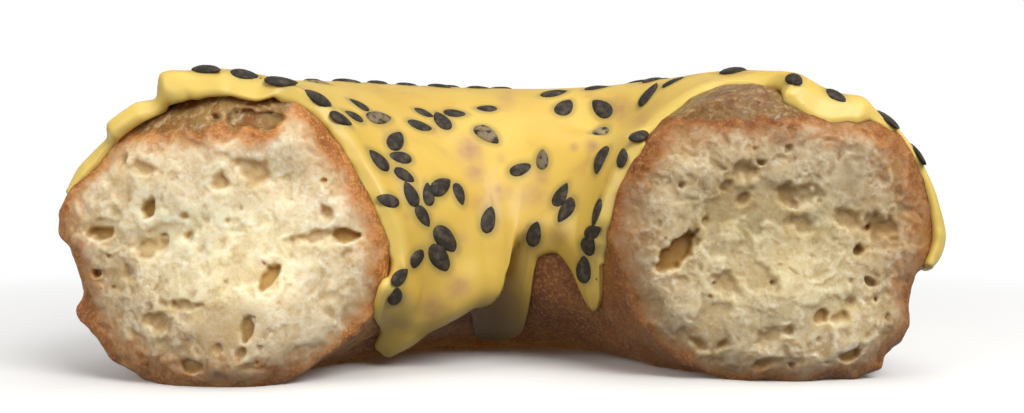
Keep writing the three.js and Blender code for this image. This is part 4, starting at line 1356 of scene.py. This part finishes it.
def droop(settings, ring, around):
    """How far the icing hangs over a torn rim."""
    hang = 0
    for end in ENDS:
        inside = from_broken(settings, end, ring, around)
        near = np.clip(1 - inside / settings.icing.droop_reach, 0, 1)
        hang = hang + MM * reading(end.droop, around) * near * near
    return hang


def pressed(settings, ring, around):
    """How far the underside goes into the dough's rim beside a broken edge that doesn't hang over."""
    near = 0
    for end in ENDS:
        inside = np.maximum(from_broken(settings, end, ring, around), 0)
        hanging = ease(reading(end.droop, around) / HANGING)
        near = np.maximum(near, (1 - hanging) * ease(1 - inside / settings.icing.press_reach))
    return settings.icing.press * near


def icing_points(settings, ring, around, level):
    """Points of the icing: level 0 is its underside and level 1 its top."""
    thickness = icing_thickness(settings, ring, around)
    height = settings.icing.gap + level * thickness - droop(settings, ring, around)
    height = height - (1 - level) * pressed(settings, ring, around)
    normal = skin_axes(settings.dough, ring, around)[2]
    points = skin(settings.dough, ring, around) + normal * height[..., None]
    points[..., 2] = np.maximum(points[..., 2], settings.icing.floor)
    return points


def icing_axes(settings, ring, around):
    """Directions along the ring, over the section and out of the icing's top."""
    step = 1.0
    top = functools.partial(icing_points, settings, level=1.0)
    along = unit(top(ring + step, around) - top(ring - step, around))
    over = top(ring, around + step) - top(ring, around - step)
    normal = unit(np.cross(along, over))
    return along, np.cross(normal, along), normal


def icing_shell(settings):
    """The icing as a block of cells laid over the dough, with a rounded, crumbled face at each end."""
    icing = settings.icing
    corners, quads = block_faces(ICING_ALONG, ICING_ACROSS, ICING_LEVELS)
    along, across, level = corners.T
    limits = []
    for end in ENDS:
        around = mix(outer_edge(icing, end.ring), inner_edge(end.ring), across)
        bulge = icing.broken_bulge * (4 * level * (1 - level) - 0.5)
        rough = uneven(around / CRUMBLED_STEP, level * CRUMBLED_ROWS, end.edge_seed + CRUMBLED_SEED)
        limits.append(broken_angle(settings, end, around, bulge + icing.crumbled * rough))
    ring = mix(limits[0], limits[1], along)
    around = mix(outer_edge(icing, ring), inner_edge(ring), across)
    broken = 0
    for end in ENDS:
        inside = np.maximum(from_broken(settings, end, ring, around), 0)
        broken = np.maximum(broken, ease(1 - inside / icing.broken_round))
    # The run behind the curtain, which takes a colour with painted shade
    glazed = below_curtain(settings, ring, around)
    points = icing_points(settings, ring, around, level)
    pixels = seen(settings.stage, points)
    # Thin spots, some of them painted shade where the icing lies in shade, placed by where they fall in the
    # picture
    thinned = 0
    for column, row, reach, amount in THIN_AND_SHADED_SPOTS:
        away = np.hypot(pixels[:, 0] - column, pixels[:, 1] - row)
        thinned = np.maximum(thinned, amount * hump(away / reach))
    thinned = thinned * ease((around - SPOTS_FROM) / SPOTS_FADE)
    return make_piece("poured_icing", points, quads, broken=broken, glazed=glazed, thinned=thinned)


def flow_tree(material):
    """Nodes that draw the icing up round each seed and mark how near a seed each point is."""
    tree = bpy.data.node_groups.new("icing_round_seeds", "GeometryNodeTree")
    tree.interface.new_socket("Geometry", in_out="INPUT", socket_type="NodeSocketGeometry")
    seeds = tree.interface.new_socket("Seeds", in_out="INPUT", socket_type="NodeSocketObject")
    reach = tree.interface.new_socket("Reach", in_out="INPUT", socket_type="NodeSocketFloat")
    rise = tree.interface.new_socket("Rise", in_out="INPUT", socket_type="NodeSocketFloat")
    tree.interface.new_socket("Geometry", in_out="OUTPUT", socket_type="NodeSocketGeometry")
    given = add(tree, "NodeGroupInput")
    shown = add(tree, "GeometryNodeObjectInfo", {"Object": given["Seeds"]})["Geometry"]
    away = add(tree, "GeometryNodeProximity", {0: shown}, target_element="FACES")["Distance"]
    near = add(tree, MAP_RANGE, {"Value": away, "From Max": given["Reach"], "To Min": 1.0, "To Max": 0.0},
               interpolation_type="SMOOTHSTEP")["Result"]
    marked = add(tree, "GeometryNodeStoreNamedAttribute",
                 {"Geometry": given["Geometry"], "Name": "near_seed", "Value": near})["Geometry"]
    cube = add(tree, MATH, {0: near, 1: 3.0}, operation="POWER")["Value"]
    height = add(tree, MATH, {0: cube, 1: given["Rise"]}, operation="MULTIPLY")["Value"]
    normal = add(tree, "GeometryNodeInputNormal")["Normal"]
    offset = add(tree, "ShaderNodeVectorMath", {0: normal, "Scale": height}, operation="SCALE")["Vector"]
    drawn = add(tree, "GeometryNodeSetPosition", {"Geometry": marked, "Offset": offset})["Geometry"]
    finished = add(tree, "GeometryNodeSetMaterial", {"Geometry": drawn, "Material": material})["Geometry"]
    add(tree, "NodeGroupOutput", {"Geometry": finished})
    return tree, {"seeds": seeds.identifier, "reach": reach.identifier, "rise": rise.identifier}


def apply_tree(piece, tree, values):
    """Runs a node tree on a piece with these input values and keeps the result as its plain mesh."""
    modifier = piece.modifiers.new(tree.name, "NODES")
    modifier.node_group = tree
    for identifier, value in values.items():
        modifier[identifier] = value
    bpy.context.view_layer.update()
    evaluated = piece.evaluated_get(bpy.context.evaluated_depsgraph_get())
    mesh = bpy.data.meshes.new_from_object(evaluated)
    piece.modifiers.remove(modifier)
    old = piece.data
    piece.data = mesh
    mesh.name = piece.name
    bpy.data.meshes.remove(old)


# Seeds

# Places that a seed at the front may take: degrees of ring angle between them, first and last section angle
SPOT_STEP = 0.5
FRONT_AROUND = (-20, 250)
# Seeds that the camera doesn't see: start of their random draws, how many are tried, first and last section
# angle, and the ring angle and section angle that the first may fall beside
BACK_DRAWS = 20260
BACK_TRIES = 6000
BACK_AROUND = (16, 100)
BACK_FIRST = (90, 92)
# Rows and columns of a seed's points, and the power that rounds its section
SEED_ROWS = 8
SEED_COLUMNS = 12
SEED_ROUND = 0.8


def holds_seed(settings, ring, around):
    """True where the icing is wide and thick enough to hold a seed."""
    seeds, icing, half_width = settings.seeds, settings.icing, settings.dough.half_width
    held = np.radians(around - outer_edge(icing, ring)) * half_width > seeds.edge_margin
    held &= from_lip(settings, ring, around) > seeds.edge_margin
    for end in ENDS:
        held &= from_broken(settings, end, ring, around) > seeds.end_margin
    return held


def spots_at(settings, ring, around):
    """Places on the icing's top with their directions, and how far they slope towards the camera."""
    points = icing_points(settings, ring, around, 1.0)
    along, over, normal = icing_axes(settings, ring, around)
    slope = np.sum(normal * unit(viewpoint(settings.stage) - points), axis=-1)
    return points, along, over, normal, slope


def front_seeds(settings):
    """Seeds that the camera sees, each at the nearest free place to where it is told and leaning as told."""
    seeds, stage = settings.seeds, settings.stage
    rings = np.arange(RIGHT.ring, LEFT.ring, SPOT_STEP)
    ring, around = np.meshgrid(rings, np.arange(*FRONT_AROUND, 2 * SPOT_STEP), indexing="ij")
    held = holds_seed(settings, ring, around)
    points, along, over, normal, slope = spots_at(settings, ring[held], around[held])
    pixels = seen(stage, points)
    free = slope > seeds.facing
    aside = np.where(slope < 0, seeds.turned, 0)
    found = []
    for column, row, lean, pixel_length in FRONT_SEEDS:
        away = np.hypot(pixels[:, 0] - column, pixels[:, 1] - row) + aside
        spot = int(np.argmin(np.where(free, away, np.inf)))
        if away[spot] > seeds.stray + aside[spot]:
            continue
        free &= np.linalg.norm(points - points[spot], axis=1) > seeds.spacing
        a = seen(stage, points[spot] + MM * along[spot]) - pixels[spot]
        o = seen(stage, points[spot] + MM * over[spot]) - pixels[spot]
        wanted = np.array([math.cos(math.radians(lean)), -math.sin(math.radians(lean))])
        turned = np.linalg.solve(np.stack([a, o], axis=1), wanted)
        spin = math.atan2(turned[1], turned[0])
        shown = np.linalg.norm(a * math.cos(spin) + o * math.sin(spin)) / MM
        size = np.clip(pixel_length / shown / seeds.size, seeds.shortest, seeds.longest)
        film = FILMED.get((column, row), 0.0)
        found.append((points[spot], along[spot], over[spot], normal[spot], spin, size, film))
    return found


def back_seeds(settings, found):
    """Seeds that the camera doesn't see: some fall alone and some beside the one before."""
    seeds = settings.seeds
    draw = random_draws(BACK_DRAWS)
    last = BACK_FIRST
    reach = math.degrees(seeds.pair_reach / settings.dough.half_width)
    wanted = len(found) + seeds.back_count
    for _ in range(BACK_TRIES):
        if len(found) == wanted:
            return
        beside = next(draw) < seeds.pair_share
        first = next(draw)
        second = next(draw)
        spin = 2 * math.pi * next(draw)
        size = mix(seeds.shortest, seeds.longest, next(draw))
        ring = np.array(last[0] + reach * (first - 0.5) if beside else LEFT.ring * first)
        around = np.array(last[1] + 2 * reach * (second - 0.5) if beside else mix(*BACK_AROUND, second))
        point, along, over, normal, slope = spots_at(settings, ring, around)
        crowded = any(np.linalg.norm(other[0] - point) < seeds.spacing for other in found)
        if slope > 0 or crowded or not holds_seed(settings, ring, around):
            continue
        last = (float(ring), float(around))
        found.append((point, along, over, normal, spin, size, 0.0))
    raise RuntimeError("the icing has no room for so many seeds")


def seed_shape(settings):
    """One seed of the usual length: a flat drop, pointed at one end, with a faint rim."""
    seeds = settings.seeds
    lean = np.linspace(0, np.pi, SEED_ROWS + 2)[1:-1, None]
    turned = np.linspace(0, 2 * np.pi, SEED_COLUMNS, endpoint=False)[None, :]
    y = 0.5 * np.cos(lean) + 0 * turned
    drop = np.sin(lean) * np.sin(lean / 2) ** seeds.taper
    drop = drop / drop.max()
    flat = np.sign(np.sin(turned)) * np.abs(np.sin(turned)) ** SEED_ROUND
    x = 0.5 * drop * np.cos(turned) * seeds.width
    z = 0.5 * drop * flat * seeds.thickness
    points = np.stack([x, y, z], axis=-1).reshape(-1, 3)
    ends = np.array([[0, 0.5, 0], [0, -0.5, 0]])
    faces = tube_faces(SEED_ROWS, SEED_COLUMNS)
    mesh = bpy.data.meshes.new("seed_shape")
    mesh.from_pydata(np.concatenate([points, ends]) * seeds.size, [], faces)
    mesh.shade_smooth()
    return bpy.data.objects.new("seed_shape", mesh)


def scatter_tree(material):
    """Nodes that lay one seed at each point, turned and sized as the point says."""
    tree = bpy.data.node_groups.new("scattered_seeds", "GeometryNodeTree")
    tree.interface.new_socket("Geometry", in_out="INPUT", socket_type="NodeSocketGeometry")
    seed = tree.interface.new_socket("Seed", in_out="INPUT", socket_type="NodeSocketObject")
    tree.interface.new_socket("Geometry", in_out="OUTPUT", socket_type="NodeSocketGeometry")
    given = add(tree, "NodeGroupInput")
    shape = add(tree, "GeometryNodeObjectInfo", {"Object": given["Seed"]})["Geometry"]
    turned = add(tree, NAMED_ATTRIBUTE, {"Name": "turned"}, data_type="FLOAT_VECTOR")["Attribute"]
    size = add(tree, NAMED_ATTRIBUTE, {"Name": "size"}, data_type="FLOAT")["Attribute"]
    laid = add(tree, "GeometryNodeInstanceOnPoints", {
        "Points": given["Geometry"], "Instance": shape, "Rotation": turned, "Scale": size})["Instances"]
    real = add(tree, "GeometryNodeRealizeInstances", {"Geometry": laid})["Geometry"]
    finished = add(tree, "GeometryNodeSetMaterial", {"Geometry": real, "Material": material})["Geometry"]
    add(tree, "NodeGroupOutput", {"Geometry": finished})
    return tree, {"seed": seed.identifier}


def make_seeds(settings):
    """A point for each seed, with its turn, its size and how much icing hides it."""
    found = front_seeds(settings)
    back_seeds(settings, found)
    points, along, over, normal, spin, size, film = (np.array(column) for column in zip(*found))
    lengthways = along * np.cos(spin)[:, None] + over * np.sin(spin)[:, None]
    sideways = np.cross(lengthways, normal)
    turned = [Matrix((s, l, n)).transposed().to_euler() for s, l, n in zip(sideways, lengthways, normal)]
    piece = make_piece("sesame_seeds", points, [], size=size, film=film)
    kept = piece.data.attributes.new("turned", "FLOAT_VECTOR", "POINT")
    kept.data.foreach_set("vector", np.array(turned).ravel())
    return piece


# Stage

# The nearest that the camera sees
CLIP_START = 5 * MM
TABLE_RADIUS = 0.3
TABLE_SIDES = 96
# Soft lights: name, place, width and power
LIGHTS = (
    ("key", (0.15, -0.24, 0.24), 0.2, 1.15),
    ("near left", (-0.2, -0.2, 0.12), 0.16, 0.3),
    ("top", (0.06, 0.02, 0.4), 0.3, 0.4),
)
# The point that they face
LIT_POINT = (0, 0, 0.015)


def set_camera(scene):
    stage = scene.doughnut.stage
    camera_data = bpy.data.cameras.new("camera")
    camera_data.lens = stage.lens
    camera_data.sensor_width = SENSOR
    camera_data.clip_start = CLIP_START
    camera = bpy.data.objects.new("camera", camera_data)
    camera.location = Vector(ring_axis()) + Vector(viewpoint(stage))
    camera.rotation_euler = (math.pi / 2 - stage.tilt, 0, -stage.pan)
    scene.collection.objects.link(camera)
    scene.camera = camera


def lay_table(scene):
    """A round table, which throws none of its own white back on the doughnut."""
    turns = [2 * math.pi * side / TABLE_SIDES for side in range(TABLE_SIDES)]
    corners = [(TABLE_RADIUS * math.cos(a), TABLE_RADIUS * math.sin(a), 0) for a in turns]
    mesh = bpy.data.meshes.new("table")
    mesh.from_pydata(corners, [], [range(TABLE_SIDES)])
    mesh.materials.append(matt_white())
    table = bpy.data.objects.new("table", mesh)
    scene.collection.objects.link(table)
    table.visible_diffuse = False


def hang_lights(scene):
    for name, spot, width, power in LIGHTS:
        light = bpy.data.lights.new(name, "AREA")
        light.size = width
        light.energy = power
        lamp = bpy.data.objects.new(name, light)
        lamp.location = spot
        facing = Vector(LIT_POINT) - Vector(spot)
        lamp.rotation_euler = facing.to_track_quat("-Z", "Y").to_euler()
        scene.collection.objects.link(lamp)


def light_room(scene):
    """A white room, which lights the doughnut more from above than from below."""
    world = bpy.data.worlds.new("studio")
    world.use_nodes = True
    tree = world.node_tree
    tree.nodes.clear()
    shown = add(tree, "ShaderNodeLightPath")["Is Camera Ray"]
    facing = add(tree, COORDINATES)["Generated"]
    upward = add(tree, "ShaderNodeSeparateXYZ", {0: facing})["Z"]
    sky = add(tree, MAP_RANGE, {
        "Value": upward, "From Min": -0.1, "From Max": 0.3, "To Min": 0.16, "To Max": 0.38})["Result"]
    strength = add(tree, BLEND, {0: shown, 2: sky, 3: 1.0})[0]
    white = add(tree, "ShaderNodeBackground", {"Color": (1, 1, 1, 1), "Strength": strength})["Background"]
    add(tree, "ShaderNodeOutputWorld", {"Surface": white})
    scene.world = world


# Operators

class DOUGHNUT_OT_crust(bpy.types.Operator):
    """Make the fried skin between the torn ends"""
    bl_idname = "doughnut.crust"
    bl_label = "Crust"

    def execute(self, context):
        piece = make_crust()
        piece.data.materials.append(fried_dough())
        settle(piece, "dough")
        return {"FINISHED"}


class DOUGHNUT_OT_torn_ends(bpy.types.Operator):
    """Make the two torn ends with their open crumb"""
    bl_idname = "doughnut.torn_ends"
    bl_label = "Torn ends"

    def execute(self, context):
        material = fried_dough()
        for end in ENDS:
            piece = make_torn_end(end)
            piece.data.materials.append(material)
            settle(piece, "dough", "dough")
        return {"FINISHED"}


class DOUGHNUT_OT_seeds(bpy.types.Operator):
    """Scatter the sesame seeds over the icing"""
    bl_idname = "doughnut.seeds"
    bl_label = "Sesame seeds"

    def execute(self, context):
        settings = context.scene.doughnut
        piece = make_seeds(settings)
        shape = seed_shape(settings)
        tree, sockets = scatter_tree(seed_coat())
        apply_tree(piece, tree, {sockets["seed"]: shape})
        bpy.data.objects.remove(shape)
        settle(piece, "sesame")
        return {"FINISHED"}


class DOUGHNUT_OT_icing(bpy.types.Operator):
    """Pour the icing over the dough and round the seeds"""
    bl_idname = "doughnut.icing"
    bl_label = "Icing"

    def execute(self, context):
        settings = context.scene.doughnut
        piece = icing_shell(settings)
        tree, sockets = flow_tree(set_icing())
        apply_tree(piece, tree, {
            sockets["seeds"]: bpy.data.objects["sesame_seeds"],
            sockets["reach"]: settings.icing.stain_reach,
            sockets["rise"]: settings.icing.seed_rise,
        })
        settle(piece, "icing", "icing")
        return {"FINISHED"}


class DOUGHNUT_OT_stage(bpy.types.Operator):
    """Set the camera, the table and the studio light"""
    bl_idname = "doughnut.stage"
    bl_label = "Stage"

    def execute(self, context):
        set_camera(context.scene)
        lay_table(context.scene)
        hang_lights(context.scene)
        light_room(context.scene)
        context.scene.view_settings.view_transform = "Standard"
        return {"FINISHED"}


class DOUGHNUT_PT_sidebar(bpy.types.Panel):
    bl_label = "Iced doughnut half"
    bl_idname = "DOUGHNUT_PT_sidebar"
    bl_space_type = "VIEW_3D"
    bl_region_type = "UI"
    bl_category = "Doughnut"

    def draw(self, context):
        for operator in OPERATORS:
            self.layout.operator(operator.bl_idname)


OPERATORS = (
    DOUGHNUT_OT_stage,
    DOUGHNUT_OT_crust,
    DOUGHNUT_OT_torn_ends,
    DOUGHNUT_OT_seeds,
    DOUGHNUT_OT_icing,
)
CLASSES = (
    DoughSettings,
    IcingSettings,
    SeedSettings,
    StageSettings,
    DoughnutSettings,
    *OPERATORS,
    DOUGHNUT_PT_sidebar,
)


def register():
    for kind in CLASSES:
        bpy.utils.register_class(kind)
    bpy.types.Scene.doughnut = PointerProperty(type=DoughnutSettings)


def unregister():
    del bpy.types.Scene.doughnut
    for kind in reversed(CLASSES):
        bpy.utils.unregister_class(kind)


def main():
    register()
    bpy.ops.doughnut.stage()
    bpy.ops.doughnut.crust()
    bpy.ops.doughnut.torn_ends()
    bpy.ops.doughnut.seeds()
    bpy.ops.doughnut.icing()


if __name__ == "__main__":
    main()
